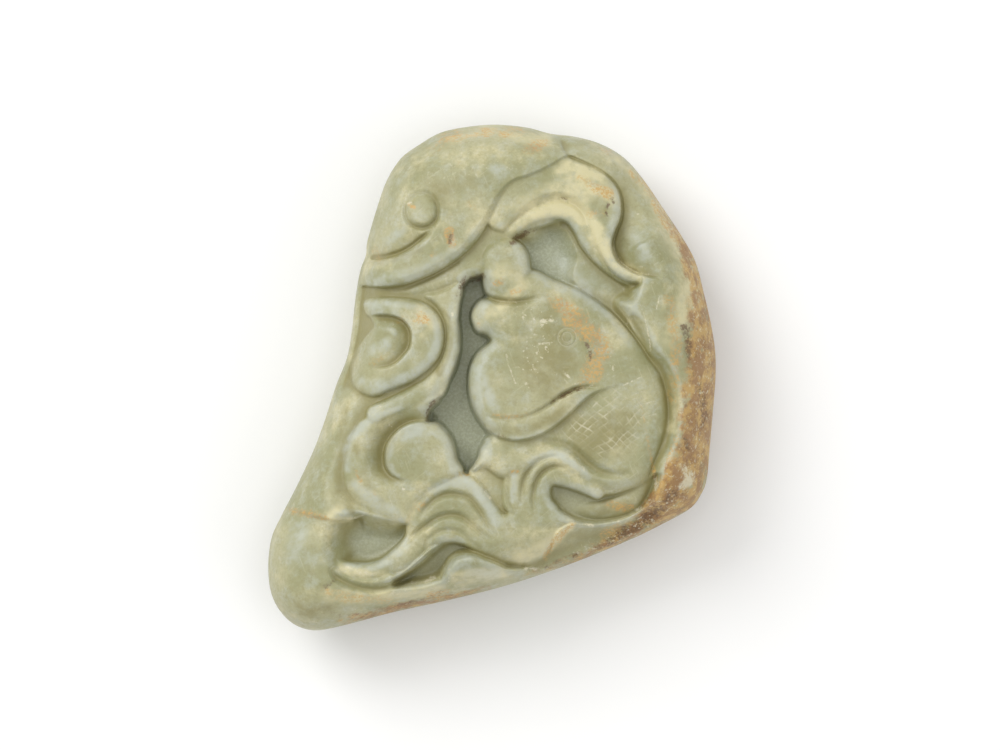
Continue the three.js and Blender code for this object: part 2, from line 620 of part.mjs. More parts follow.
// Samples of the carved face, as { disc, point }, the edge's own points first.
function faceSamples() {
  const samples = pebbleLines.map(([x, y], i) => {
    const angle = (2 * Math.PI * i) / EDGE_FACETS;
    return { disc: [Math.cos(angle), Math.sin(angle)], point: [x, y, EDGE_HEIGHT] };
  });
  samples.push({ disc: [0, 0], point: [0, 0, faceHeight(0, 0)] });
  const spacing = 2 / SAMPLE_ROWS;
  for (let i = 0; i < SAMPLE_ROWS; i += 1) {
    for (let j = 0; j < SAMPLE_ROWS; j += 1) {
      const p = -1 + spacing * (i + 0.5 + JITTER * Math.sin(12.9 * i + 78.2 * j));
      const q = -1 + spacing * (j + 0.5 + JITTER * Math.sin(39.3 * i + 11.1 * j));
      if (Math.hypot(p, q) > 1 - 1.5 * spacing) continue;
      const [x, y] = onPebble(p, q);
      samples.push({ disc: [p, q], point: [x, y, faceHeight(x, y)] });
    }
  }
  return samples;
}

function turnOf(a, b, c) {
  return (b[0] - a[0]) * (c[1] - a[1]) - (b[1] - a[1]) * (c[0] - a[0]);
}

// Whether d lies inside the circle through a, b and c.
function inCircle(a, b, c, d) {
  const [ax, ay, bx, by, cx, cy] = [a[0] - d[0], a[1] - d[1], b[0] - d[0], b[1] - d[1],
    c[0] - d[0], c[1] - d[1]];
  return (ax * ax + ay * ay) * (bx * cy - cx * by)
    - (bx * bx + by * by) * (ax * cy - cx * ay)
    + (cx * cx + cy * cy) * (ax * by - bx * ay) > 1e-14;
}

// A facet with the samples that lie on it, and the one that it misses by most.
function makeFacet(corners, samples, inside) {
  const [a, b, c] = corners.map((i) => samples[i].point);
  const u = [b[0] - a[0], b[1] - a[1], b[2] - a[2]];
  const v = [c[0] - a[0], c[1] - a[1], c[2] - a[2]];
  const n = [u[1] * v[2] - u[2] * v[1], u[2] * v[0] - u[0] * v[2], u[0] * v[1] - u[1] * v[0]];
  const length = Math.hypot(...n);
  const facet = { corners, inside, worst: -1, miss: 0, next: [null, null, null] };
  for (const i of inside) {
    const p = samples[i].point;
    const miss = Math.abs((p[0] - a[0]) * n[0] + (p[1] - a[1]) * n[1] + (p[2] - a[2]) * n[2]);
    if (miss / length > facet.miss) {
      facet.miss = miss / length;
      facet.worst = i;
    }
  }
  return facet;
}

// Takes out the facets whose circle holds the new corner, and fans the hole around it.
function insertCorner(facets, start, corner, samples) {
  const point = samples[corner].disc;
  const hole = new Set([start]);
  const open = [start];
  const rim = [];
  while (open.length) {
    const facet = open.pop();
    facet.next.forEach((other, side) => {
      if (other && hole.has(other)) return;
      const holds = other && inCircle(...other.corners.map((i) => samples[i].disc), point);
      if (holds) {
        hole.add(other);
        open.push(other);
      } else {
        rim.push({ from: facet.corners[side], to: facet.corners[(side + 1) % 3], other });
      }
    });
  }
  const loose = [...hole].flatMap((facet) => facet.inside).filter((i) => i !== corner);
  const byFrom = new Map(rim.filter((edge) => !(edge.other && hole.has(edge.other)))
    .map((edge) => [edge.from, edge]));
  const shares = new Map([...byFrom.values()].map((edge) => [edge, []]));
  for (const i of loose) {
    const home = [...byFrom.values()].find((edge) => (
      turnOf(point, samples[edge.from].disc, samples[i].disc) >= 0
      && turnOf(point, samples[edge.to].disc, samples[i].disc) < 0
    ));
    if (home) shares.get(home).push(i);
  }
  for (const facet of hole) facets.delete(facet);
  for (const edge of byFrom.values()) {
    edge.facet = makeFacet([edge.from, edge.to, corner], samples, shares.get(edge));
    facets.add(edge.facet);
    edge.facet.next[0] = edge.other;
    if (edge.other) {
      const side = edge.other.corners.indexOf(edge.to);
      edge.other.next[side] = edge.facet;
    }
  }
  for (const edge of byFrom.values()) {
    const following = byFrom.get(edge.to).facet;
    edge.facet.next[1] = following;
    following.next[2] = edge.facet;
  }
}

// Facets of the carved face, put where the carving turns most.
function faceFacets(samples) {
  const fan = [];
  const homes = Array.from({ length: EDGE_FACETS }, () => []);
  for (let i = EDGE_FACETS + 1; i < samples.length; i += 1) {
    const turn = Math.atan2(samples[i].disc[1], samples[i].disc[0]) / (2 * Math.PI);
    homes[Math.floor((turn < 0 ? turn + 1 : turn) * EDGE_FACETS) % EDGE_FACETS].push(i);
  }
  for (let k = 0; k < EDGE_FACETS; k += 1) {
    fan.push(makeFacet([k, (k + 1) % EDGE_FACETS, EDGE_FACETS], samples, homes[k]));
  }
  fan.forEach((facet, k) => {
    facet.next = [null, fan[(k + 1) % EDGE_FACETS], fan[(k + EDGE_FACETS - 1) % EDGE_FACETS]];
  });
  const facets = new Set(fan);
  for (let count = 0; count < FACE_POINTS; count += 1) {
    let start = null;
    for (const facet of facets) if (!start || facet.miss > start.miss) start = facet;
    if (start.worst < 0) break;
    insertCorner(facets, start, start.worst, samples);
  }
  return [...facets].map((facet) => facet.corners);
}

function pebble() {
  const samples = faceSamples();
  const facets = faceFacets(samples);
  const positions = [];
  const numbers = new Map();
  const cornerNumber = (i) => {
    if (!numbers.has(i)) {
      numbers.set(i, positions.length / 3);
      positions.push(...samples[i].point);
    }
    return numbers.get(i);
  };
  const edge = pebbleLines.map((_, i) => cornerNumber(i));
  const triangles = facets.flatMap((corners) => corners.map(cornerNumber));
  let ring = edge;
  for (let k = BACK_RINGS - 1; k >= 0; k -= 1) {
    const turn = k / BACK_RINGS;
    const fraction = REST_PART + (1 - REST_PART) * Math.sin((turn * Math.PI) / 2);
    const inner = pebbleLines.map(([x, y]) => {
      positions.push(x * fraction, y * fraction, k === 0 ? 0 : backHeight(fraction));
      return positions.length / 3 - 1;
    });
    for (let i = 0; i < EDGE_FACETS; i += 1) {
      const j = (i + 1) % EDGE_FACETS;
      triangles.push(ring[i], inner[i], ring[j], ring[j], inner[i], inner[j]);
    }
    ring = inner;
  }
  const middle = positions.length / 3;
  positions.push(0, 0, 0);
  for (let i = 0; i < EDGE_FACETS; i += 1) {
    triangles.push(ring[i], middle, ring[(i + 1) % EDGE_FACETS]);
  }
  const geometry = new THREE.BufferGeometry();
  geometry.setAttribute('position', new THREE.Float32BufferAttribute(positions, 3));
  geometry.setIndex(triangles);
  geometry.computeVertexNormals();
  return geometry;
}

export default CARVING;
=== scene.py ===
import bpy
import numpy as np
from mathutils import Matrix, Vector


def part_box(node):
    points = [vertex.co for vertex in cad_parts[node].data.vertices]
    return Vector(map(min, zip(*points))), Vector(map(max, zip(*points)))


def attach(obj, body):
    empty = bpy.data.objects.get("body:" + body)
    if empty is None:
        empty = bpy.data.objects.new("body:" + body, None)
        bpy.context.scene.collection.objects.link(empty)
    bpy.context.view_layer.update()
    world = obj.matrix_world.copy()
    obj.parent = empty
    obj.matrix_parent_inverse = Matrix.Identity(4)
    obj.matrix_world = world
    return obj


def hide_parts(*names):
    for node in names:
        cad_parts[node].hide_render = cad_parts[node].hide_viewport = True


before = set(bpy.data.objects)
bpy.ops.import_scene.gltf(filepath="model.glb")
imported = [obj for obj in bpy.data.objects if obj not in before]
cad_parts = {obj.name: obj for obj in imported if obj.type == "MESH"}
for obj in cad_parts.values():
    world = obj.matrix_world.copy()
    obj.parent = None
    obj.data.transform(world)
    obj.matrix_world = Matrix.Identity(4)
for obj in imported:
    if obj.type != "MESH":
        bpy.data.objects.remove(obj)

bl_info = {
    "name": "Carved jade pebble",
    "version": (1, 0, 0),
    "blender": (4, 5, 0),
    "location": "3D View > Sidebar > Carving",
    "description": "A jade pebble carved with a carp, a fungus cap and scrolls",
    "category": "Object",
}

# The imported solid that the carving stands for. Its box gives the pebble's size.
SOLID = "jade_carving"
LOW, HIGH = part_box(SOLID)
MM = 0.001
WIDTH = (HIGH.x - LOW.x) / MM
LENGTH = (HIGH.y - LOW.y) / MM

# Sizes on the pebble are in millimetres. Places are on the drawing, as its rows are.
CARVING_INSET = 1.2  # the carving fades out this close to the edge
BLEND = 0.15  # how softly neighbouring forms meet
STEP_WIDTH = 0.18  # half of it is on each side of a step's line
WEAR = 0.09  # how far the carving's edges are worn soft
CRISP_DEPTH = 2.6  # hollows start to keep their crisp edges from this depth on
CRISP_BLEND = 0.8  # and keep them fully this much deeper
CRISP_REACH = 0.5  # the depth that counts is the mean of the neighbours this far off
HOLLOW_REACH = 1.0  # a place is hollow where its neighbours this far off are higher
KNOB_PLACE = (420.5, 210.5)
KNOB_DIAMETER = 3.4
KNOB_LEVEL = 0.22
KNOB_CROWN = 0.4
KNOB_ROUNDING = 0.3  # share of the knob's radius that is rounded over
KNOB_WALL = 7.5  # fall of its side for each millimetre outwards
EYE_PLACE = (566.5, 337.5)
EYE_DIAMETERS = (1.25, 2.3)
EYE_LINE = 0.17  # from the middle of a ring's line to where it has faded out
EYE_DEPTH = 0.14
EYE_PALENESS = 0.6  # the chalk in its rings, against the chalk in the net of scales
NET_SPACING = 0.82  # between the lines that are scratched across the fish's flank
NET_LINE = 0.16  # from the middle of a line to where it has faded out
NET_DEPTH = 0.08
NET_LEAN = 0.85  # sideways against upward; 1 would cross at right angles
NET_LENGTH = (1 + NET_LEAN ** 2) ** 0.5
NET_WAVER = 0.4  # how far the scratched lines stray from straight ones
# The marks of dirt and broken places also hold the painted shadow under undercut rims, and these
# places are pitted and sunk too.
PIT_DEPTH = 0.07  # of the pits where the stone is broken or dirty
SKIN_PIT_DEPTH = 0.03
BROKEN_DEPTH = 0.1  # how far broken and dirty places are sunk

# Soft random lumps: their size in millimetres and the seed of their heights.
WAVER_ACROSS, WAVER_UP, NET_FADING = (2.2, 3), (2.2, 4), (0.6, 5)
FINE_PITS, COARSE_PITS = (0.32, 6), (0.75, 7)
WIDE_SWELL, SMALL_SWELL = (2.6, 8), (1.1, 9)
WIDE_SWELL_HEIGHT, SMALL_SWELL_HEIGHT = 0.05, 0.025

# How finely the shapes are worked out, in millimetres where nothing else is said.
CURVE_STEPS = 5  # number of pieces of curve between two drawn points
SHEET_STEP = 0.08  # spacing of the raster that the drawing is worked out on
SHEET_MARGIN = 1.0
STEEP_REACH = 1.2  # how far in from the edge the pebble's sides are steep
SEAM_GAP = 0.5e-6  # in metres; points closer than this are one point
EDGE_EASE = 6  # how strongly the rows of facets crowd towards the widest line

# Soft square lights: name, place and width in metres, and power in watts.
SOFTBOXES = (
    ("key_light", (-0.6, 0.55, 0.75), 0.6, 6.2),
    ("fill_light", (0.8, -0.3, 0.7), 0.9, 1.5),
    ("top_light", (0.0, 0.25, 1.3), 1.2, 4.0),
)
SURROUND_LIGHT = 0.7
CAMERA_ACROSS, CAMERA_UP = 1.0, 0.31  # millimetres from the pebble's middle
SENSOR_WIDTH = 36  # millimetres

# The drawing: rows are (across, down) on a picture of the face, in units of which 8 are about
# a millimetre. A third number is a half width in the same units, and a fourth is a level or
# a depth in millimetres.
DRAWN_OUTLINE = [
    (497, 124), (527, 127), (550, 133), (577, 136.5), (602, 144), (625, 158), (645, 181),
    (662, 206), (682, 236), (696, 262), (704, 292), (711, 322), (715.5, 350), (716, 378),
    (713, 415), (710, 450), (708, 474), (704, 490), (692, 508), (668, 522), (638, 537),
    (608, 550), (570, 565), (530, 579), (490, 591), (440, 603), (390, 614), (345, 626),
    (312, 631.5), (288, 622), (272, 600), (267, 572), (270, 540), (280, 517), (295, 488),
    (312, 452), (324, 420), (335, 386), (346, 358), (351, 330), (354, 302), (359, 272),
    (365, 255), (366.5, 241), (376, 208), (386, 180), (400, 158), (418, 144.5), (440, 132),
    (468, 126),
]

# Hollows, cut first: depth in millimetres, bank is half the width of the sloping side.
WELLS = [
    {
        "name": "carved field",
        "depth": 2.2,
        "bank": 0.4,
        "rows": [
            (326, 282), (357, 283), (380, 284), (402, 281), (420, 275), (438, 266), (454, 256),
            (468, 244), (479, 230), (489, 214), (496, 201), (504, 190), (514, 182), (526, 178),
            (545, 170), (562, 160), (569, 157), (578, 160.5), (590, 166), (603, 173.5),
            (613, 183), (619, 194), (621, 207), (619.5, 220), (615, 231), (612, 243),
            (613.5, 253), (618, 262), (627, 269), (637, 274), (640, 283), (632, 292),
            (622, 300), (622, 314), (636, 335), (652, 357), (659, 369), (664.5, 383),
            (667.5, 401), (668, 418), (666.5, 435), (662, 451), (656, 466), (651, 481),
            (647, 495), (641, 509), (620, 516), (590, 522), (560, 530), (540, 560), (515, 566),
            (495, 560), (475, 548), (455, 538), (436, 542), (420, 558), (400, 570), (392, 570),
            (388, 566), (386, 556), (390, 545), (394, 521), (380, 500), (370, 420), (365, 400),
            (360, 380), (326, 330), (326, 300),
        ],
    },
    {
        "name": "scroll field",
        "depth": 2.2,
        "bank": 2,
        "rows": [
            (328, 292), (366, 291), (420, 293), (462, 280), (470, 300), (468, 400), (452, 500),
            (408, 528), (380, 520), (360, 513), (348, 505), (340, 494), (337, 480), (336, 462),
            (339, 445), (343, 430), (348, 412), (350, 402), (346, 392), (334, 380), (332, 360),
            (330, 330),
        ],
    },
    {
        "name": "deep well",
        "depth": 6.2,
        "bank": 0.35,
        "rows": [
            (470, 279), (482, 276), (520, 280), (535, 330), (530, 420), (505, 455), (478, 474),
            (466, 474), (458, 466), (440, 450), (427, 428), (427, 413), (431, 407),
            (438, 399.5), (445, 392), (450, 376), (455, 361), (459, 350), (457, 330),
            (459, 305), (462, 288),
        ],
    },
    {
        "name": "under the arch",
        "depth": 3.4,
        "bank": 1.2,
        "rows": [
            (511, 243), (519, 235), (531, 230.5), (545, 228), (566, 214), (586, 222),
            (600, 240), (612, 258), (622, 272), (632, 284), (630, 296), (624, 300), (620, 306),
            (632, 328), (646, 350), (640, 350), (600, 330), (540, 300), (505, 275),
        ],
    },
    {
        "name": "deep under the arch",
        "depth": 4.9,
        "bank": 3,
        "rows": [
            (506, 243), (516, 236), (531, 230.5), (545, 220), (567, 224), (578, 240),
            (584, 258), (580, 278), (596, 296), (580, 300), (545, 295), (505, 262),
        ],
    },
    {
        "name": "notch",
        "depth": 1.8,
        "bank": 0.8,
        "rows": [
            (626, 318), (634, 318), (642, 328), (649, 345), (652, 357), (644, 352), (632, 338),
        ],
    },
    {
        "name": "well below the scroll",
        "depth": 4.2,
        "bank": 2.3,
        "rows": [
            (352, 524), (358, 517.5), (370, 520), (390, 523), (412, 523), (420, 540),
            (400, 560), (370, 572), (347, 566), (341, 554), (338, 544), (342, 532),
        ],
    },
    {
        "name": "well below the tail",
        "depth": 3.8,
        "bank": 1,
        "rows": [
            (396, 583), (410, 570), (424, 558), (438, 545), (456, 538), (485, 548), (497, 562),
            (480, 562), (462, 560), (450, 566), (438, 577), (418, 583),
        ],
    },
    {
        "name": "body turn",
        "depth": 3.8,
        "bank": 0.9,
        "rows": [
            (548, 480), (563, 480), (586, 488), (609, 492), (640, 484), (656, 474), (653, 490),
            (644, 507), (630, 517), (610, 523), (590, 525), (570, 520), (556, 509), (549, 498),
        ],
    },
    {
        "name": "broken ground",
        "depth": 2.6,
        "bank": 1.4,
        "rows": [
            (548, 545), (566, 526), (590, 522), (620, 520), (642, 508), (655, 515), (630, 532),
            (590, 548), (555, 561), (530, 570), (536, 560),
        ],
    },
    {
        "name": "tail field",
        "depth": 3.6,
        "bank": 0.6,
        "rows": [
            (470, 470), (505, 445), (560, 440), (600, 470), (560, 520), (545, 560), (500, 566),
            (440, 545), (404, 570), (388, 572), (384, 562), (405, 520), (420, 480),
        ],
    },
]

# Forms that stand up in the hollows. One with a level is a slab inside its outline, and one
# without is a ridge along its rows. Levels are millimetres from the face, down being negative.
# The top rounds down by the crown, on a slab within the width from its edge and on a ridge
# from its middle line. The wall is the fall of the side for each millimetre outwards.
FORMS = [
    {
        "name": "cap",
        "level": 0.1,
        "crown": 1.3,
        "width": 1.8,
        "wall": 9,
        "rows": [
            (340, 282), (357, 285), (380, 287.5), (402, 285), (422, 278.5), (440, 270),
            (456, 260), (471, 247), (482, 233), (491, 217), (498, 203), (506, 191), (514, 183),
            (526, 178), (545, 169.5), (560, 160), (566, 152), (566, 140), (560, 128),
            (540, 100), (440, 90), (330, 130), (310, 220),
        ],
    },
    {
        "name": "lower band",
        "crown": 0.7,
        "wall": 9,
        "rows": [
            (366, 292, 3, -2.4), (385, 293, 3.5, -2.2), (402, 292.5, 4, -2.1),
            (420, 288, 6, -1.9), (438, 281, 8, -1.8), (455, 272, 10, -1.7),
            (470, 263, 13, -1.7), (484, 250, 15, -1.6), (496, 236, 15, -1.5),
        ],
    },
    {
        "name": "arch root",
        "level": -1.6,
        "crown": 0.9,
        "width": 1.3,
        "wall": 9,
        "rows": [
            (452, 276), (456, 256), (466, 244), (476, 230), (485, 215), (492, 202), (500, 190),
            (516, 185), (530, 190), (545, 205), (560, 218), (545, 226), (531, 230), (519, 235),
            (512, 242), (512, 252), (500, 262), (484, 274), (470, 278), (460, 284),
        ],
    },
    {
        "name": "arch inner band",
        "crown": 0.9,
        "wall": 9,
        "rows": [
            (508, 232, 8, -1.35), (523, 221, 8, -1.15), (540, 212, 10, -1.05),
            (558, 209, 11, -1.05), (573, 214, 11, -1.05), (583, 226, 11, -1.05),
            (592, 241, 12, -1.15), (604, 257, 11, -1.45), (618, 271, 9, -1.75),
            (634, 281, 8, -1.95), (650, 286, 7, -2.25),
        ],
    },
    {
        "name": "arch outer band",
        "level": -0.55,
        "crown": 0.8,
        "width": 1.3,
        "wall": 9,
        "rows": [
            (487, 224), (490, 207), (497, 192), (503, 179), (520, 160), (545, 158), (560, 150),
            (575, 158.5), (591, 164), (604.5, 171.5), (615, 182), (621, 193), (623, 207),
            (621.5, 220), (617, 231), (614, 243), (615.5, 252), (620, 260), (628, 267),
            (638, 272), (651, 276), (650, 284), (628, 282), (612, 272), (600, 255), (592, 240),
            (587, 224), (580, 210), (570, 203), (556, 200), (542, 204), (528, 211), (513, 221),
            (502, 232),
        ],
    },
    {
        "name": "plate",
        "level": -1.7,
        "crown": 0.5,
        "width": 0.6,
        "wall": 14,
        "rows": [
            (424, 296), (440, 292), (458, 284), (462, 290), (459, 305), (457, 330), (459, 350),
            (455, 362), (450, 377), (444, 393), (437, 400), (429, 408), (426, 416), (412, 410),
            (420, 395), (440, 375), (450, 350), (446, 325), (436, 306),
        ],
    },
    {
        "name": "outer band",
        "crown": 0.7,
        "wall": 9,
        "rows": [
            (452, 322, 5.5, -1.6), (452, 345, 6.5, -1.5), (446, 367, 7.5, -1.4),
            (433, 385, 9.5, -1.3), (416, 397, 10.5, -1.1), (396, 406, 9.5, -0.9),
            (376, 415, 9.5, -0.8),
        ],
    },
    {
        "name": "scroll 1",
        "level": -0.9,
        "crown": 0.95,
        "width": 1.6,
        "wall": 9,
        "rows": [
            (362, 305), (366, 299.5), (378, 298), (396, 298.3), (412, 300), (422, 303),
            (431, 308), (437.5, 315), (441.5, 323), (443.5, 333), (443, 345), (439, 357),
            (431, 366.5), (421, 375), (410, 382.5), (398, 387.5), (387, 391), (379, 395.5),
            (370, 396.5), (360, 392), (352, 384), (349.5, 373), (351.5, 360), (356, 348),
            (363, 339), (371, 331), (374, 325), (370, 318), (364.5, 313),
        ],
    },
    {
        "name": "scroll 2",
        "level": -1.2,
        "crown": 1,
        "width": 1.7,
        "wall": 9,
        "rows": [
            (428, 422), (437, 424.5), (444, 430.5), (450, 439), (453.5, 449), (456, 460),
            (462, 472), (450, 482), (430, 492), (416, 508), (408, 524), (390, 521.5),
            (375, 518), (362, 510), (350, 499), (343, 487), (340.5, 474), (343, 459),
            (346.5, 446), (351, 434), (357, 424), (367, 416.5), (382, 410), (398, 403.5),
            (412, 398), (426, 394), (436, 394), (438, 400), (431, 407), (427, 413),
        ],
    },
    {
        "name": "left bump",
        "crown": 0.8,
        "wall": 7,
        "rows": [
            (342, 402, 4, -2.2), (338, 412, 6, -1.6), (337, 424, 7, -1.3), (339, 436, 6, -1.5),
            (342, 446, 4, -2),
        ],
    },
    {
        "name": "fish",
        "level": -1,
        "crown": 1.4,
        "width": 2.4,
        "wall": 12,
        "rows": [
            (514, 243), (522, 247), (527, 254), (527.5, 262), (530, 269), (538, 272),
            (550, 278.5), (563, 284), (577, 289.5), (591, 298), (604, 307), (618, 319),
            (630, 332), (641, 346), (650, 359.5), (657.5, 371), (662.5, 385), (665.5, 402),
            (666, 418), (664.5, 434), (660, 450), (654, 465), (646, 480), (632, 488),
            (610, 490), (590, 485), (572, 478), (556, 470), (536, 470), (515, 478), (500, 478),
            (485, 468), (472, 471), (478, 458), (481, 447), (489, 438), (486, 430), (478, 418),
            (472, 404), (469, 388), (470, 370), (476, 356), (484, 348), (490.5, 341),
            (486, 335), (477, 331.5), (473, 323), (472.5, 313), (476, 305.5), (481, 301),
            (487.5, 298), (485, 290), (482.5, 278), (481, 264), (483, 255), (489, 248.5),
            (500, 244),
        ],
    },
    {
        "name": "upper lip",
        "crown": 1.2,
        "wall": 12,
        "rows": [
            (505, 262, 23.5, -0.5), (507, 272, 23, -0.5), (510, 281, 22, -0.6),
            (516, 292, 16, -0.8), (524, 306, 10, -1),
        ],
    },
    {
        "name": "lower lip",
        "crown": 1.1,
        "wall": 12,
        "rows": [
            (489, 317, 17, -0.9), (500, 319, 17, -0.8), (520, 324, 17, -0.7),
        ],
    },
    {
        "name": "breast",
        "level": -2.5,
        "crown": 0.6,
        "width": 1,
        "wall": 9,
        "rows": [
            (490, 436), (520, 438), (545, 440), (540, 460), (515, 480), (506, 514), (490, 504),
            (478, 488), (468, 474), (477, 462), (481, 449),
        ],
    },
    {
        "name": "body end",
        "crown": 1,
        "wall": 9,
        "rows": [
            (570, 507, 8, -3.9), (588, 511, 11, -3.4), (606, 511, 12, -3),
            (624, 505, 12, -2.7), (638, 494, 11, -2.5), (648, 479, 9, -2.4),
        ],
    },
    {
        "name": "tail web",
        "level": -1.7,
        "crown": 0.9,
        "width": 1.2,
        "wall": 9,
        "rows": [
            (506, 513.5), (497, 507), (491, 499), (484.5, 487.5), (475.5, 478.5), (466, 474.5),
            (457, 473), (446, 475), (437, 478.5), (425, 486), (415.5, 495), (408.5, 505),
            (405.3, 515), (405.5, 526), (404.5, 536), (397.5, 545.5), (388, 556), (373, 562.5),
            (358, 564), (346, 562), (339, 560), (336, 567), (333.5, 573), (345, 579),
            (360, 583), (376, 584), (388, 582), (400.5, 576), (414, 565.5), (422, 558),
            (430, 550), (440, 545), (452.5, 543), (463, 545.6), (475.5, 553), (488, 561),
            (501, 567), (516, 570), (530, 570), (542, 563), (545.5, 557), (548.5, 549.5),
            (552.5, 542.5), (559, 540), (562, 536.5), (565.5, 531), (567.5, 526), (576, 522.5),
            (563, 514), (552, 500), (535, 490), (520, 500),
        ],
    },
    {
        "name": "tail tip",
        "crown": 0.9,
        "wall": 9,
        "rows": [
            (338, 568, 8, -0.9), (352, 572, 9, -0.75), (370, 573, 10, -0.8),
            (387, 569, 11.5, -0.95), (402, 558, 12, -1.15), (416, 544, 12, -1.4),
        ],
    },
    {
        "name": "fin",
        "level": -1.6,
        "crown": 0.9,
        "width": 1.1,
        "wall": 9,
        "rows": [
            (504, 508), (502, 494), (503, 480), (508, 467), (517, 458), (529, 451.5),
            (544, 447.5), (560, 447.5), (570, 452), (578, 460), (585, 469), (594, 475.5),
            (604, 480), (604, 494), (597, 499), (586, 495), (574, 490.5), (563, 487),
            (553, 486), (550.5, 490), (551, 498), (556.5, 507), (564, 513.5), (576, 522),
            (560, 530), (540, 530), (520, 525),
        ],
    },
    {
        "name": "fin end",
        "crown": 0.9,
        "wall": 9,
        "rows": [
            (575, 472, 10, -1.9), (592, 484, 9.5, -2.2), (608, 488, 8, -2.5),
            (625, 486, 6, -2.8), (642, 480, 4, -3.1),
        ],
    },
    {
        "name": "pad",
        "level": 0.1,
        "crown": 0.5,
        "width": 1,
        "wall": 3,
        "rows": [
            (450, 568), (457, 560), (470, 557), (485, 561), (500, 567), (510, 574), (508, 584),
            (480, 600), (440, 610), (440, 585),
        ],
    },
]

# Carved lines, cut after the forms.
GROOVES = [
    {
        "name": "cap volute",
        "rows": [
            (360, 257, 5, 0.3), (377, 258.5, 5, 0.45), (394, 255.5, 5, 0.45),
            (409, 249, 5, 0.45), (422, 239.5, 5, 0.5), (429, 233, 4, 0.3),
        ],
    },
    {
        "name": "knob ring",
        "rows": [
            (409, 198, 4, 0.3), (405, 207, 4, 0.35), (405.5, 217, 4, 0.45),
            (411, 224.5, 4.5, 0.6), (419.5, 228, 4.5, 0.7), (428.5, 226.5, 4.5, 0.7),
            (435.5, 220, 4.5, 0.65), (437.5, 211, 4, 0.55), (435, 201, 4, 0.4),
            (428, 194.5, 4, 0.3), (418, 193, 4, 0.3), (409, 198, 4, 0.3),
        ],
    },
    {
        "name": "arch line",
        "rows": [
            (516, 216, 4, 0.05), (528, 208, 5, 0.2), (543, 200, 6, 0.35), (556, 197, 6, 0.45),
            (568, 199.5, 6, 0.45), (578, 206, 6, 0.35), (585, 214, 6, 0.25),
            (590, 222, 5, 0.05),
        ],
    },
    {
        "name": "mouth line",
        "rows": [
            (486, 297, 4, 0.9), (498, 301, 5, 1), (515, 302, 5, 0.85), (530, 300, 5, 0.45),
            (542, 297, 5, 0.1),
        ],
    },
    {
        "name": "gill line",
        "rows": [
            (486, 416, 2.5, 0.1), (495, 418.5, 3, 0.2), (510, 419, 3, 0.25),
            (525, 417, 3, 0.3), (538, 411.5, 3, 0.4), (550, 404, 3, 0.5), (562, 395, 3.2, 0.7),
            (575, 389, 3.2, 0.7), (586, 387, 3, 0.45), (597, 388, 2.5, 0.1),
        ],
    },
    {
        "name": "belly shade",
        "rows": [
            (545, 441, 6, 0.2), (562, 444, 7, 0.5), (576, 453, 8, 0.75), (588, 464, 9, 0.9),
            (601, 472, 8, 0.75), (616, 475, 6, 0.4), (630, 474, 4, 0.1),
        ],
    },
    {
        "name": "tail groove 1",
        "rows": [
            (420, 516, 4, 0.1), (426, 507.5, 5, 0.45), (434, 499.5, 5.5, 0.6),
            (446, 494.5, 5.5, 0.6), (458.5, 495, 5.5, 0.6), (469, 498.5, 5.5, 0.6),
            (476, 506.5, 5.5, 0.6), (483, 517, 5, 0.5), (489.5, 528, 4.5, 0.3),
            (495, 536, 4, 0.1),
        ],
    },
    {
        "name": "tail groove 2",
        "rows": [
            (404, 546, 3, 0.1), (415, 534, 5, 0.45), (425, 526, 5.5, 0.6),
            (437, 518, 5.5, 0.6), (449, 515, 5.5, 0.6), (461, 517, 5.5, 0.6),
            (471, 524.5, 5, 0.5), (481, 533.5, 4.5, 0.4), (490, 540, 4, 0.1),
        ],
    },
    {
        "name": "tail groove 3",
        "rows": [
            (424, 548, 3, 0.1), (430, 538, 4, 0.25), (441, 531.5, 4, 0.35),
            (452, 530.5, 4, 0.35), (461, 534, 4, 0.3), (470, 542, 4, 0.2), (481, 549, 3, 0.1),
        ],
    },
    {
        "name": "fin groove 1",
        "rows": [
            (521, 502, 3, 0.1), (521.5, 490, 4, 0.45), (523, 481, 4.5, 0.6),
            (527, 472.5, 4.5, 0.6), (534.5, 464, 4.5, 0.5), (544, 458.8, 4, 0.4),
            (556, 456, 3, 0.1),
        ],
    },
    {
        "name": "fin groove 2",
        "rows": [
            (534, 512, 3, 0.1), (532.5, 500, 4, 0.4), (534, 488, 4.5, 0.6),
            (537.5, 478, 5, 0.75), (544.5, 470.5, 5, 0.7), (555, 466.5, 4, 0.45),
            (566, 468, 3, 0.1),
        ],
    },
    {
        "name": "fin groove 3",
        "rows": [
            (512, 514, 3, 0.1), (507.5, 502, 3.5, 0.4), (506.5, 488, 3.5, 0.3),
            (510, 475, 3, 0.1),
        ],
    },
    {
        "name": "foot crease",
        "rows": [
            (331, 570, 5, 0.3), (335, 577, 6, 0.8), (345, 583, 7, 0.9), (360, 588, 7, 0.9),
            (378, 589, 7, 0.9), (395, 584, 7, 0.9), (410, 575, 6, 0.6), (420, 567, 5, 0.1),
        ],
    },
]

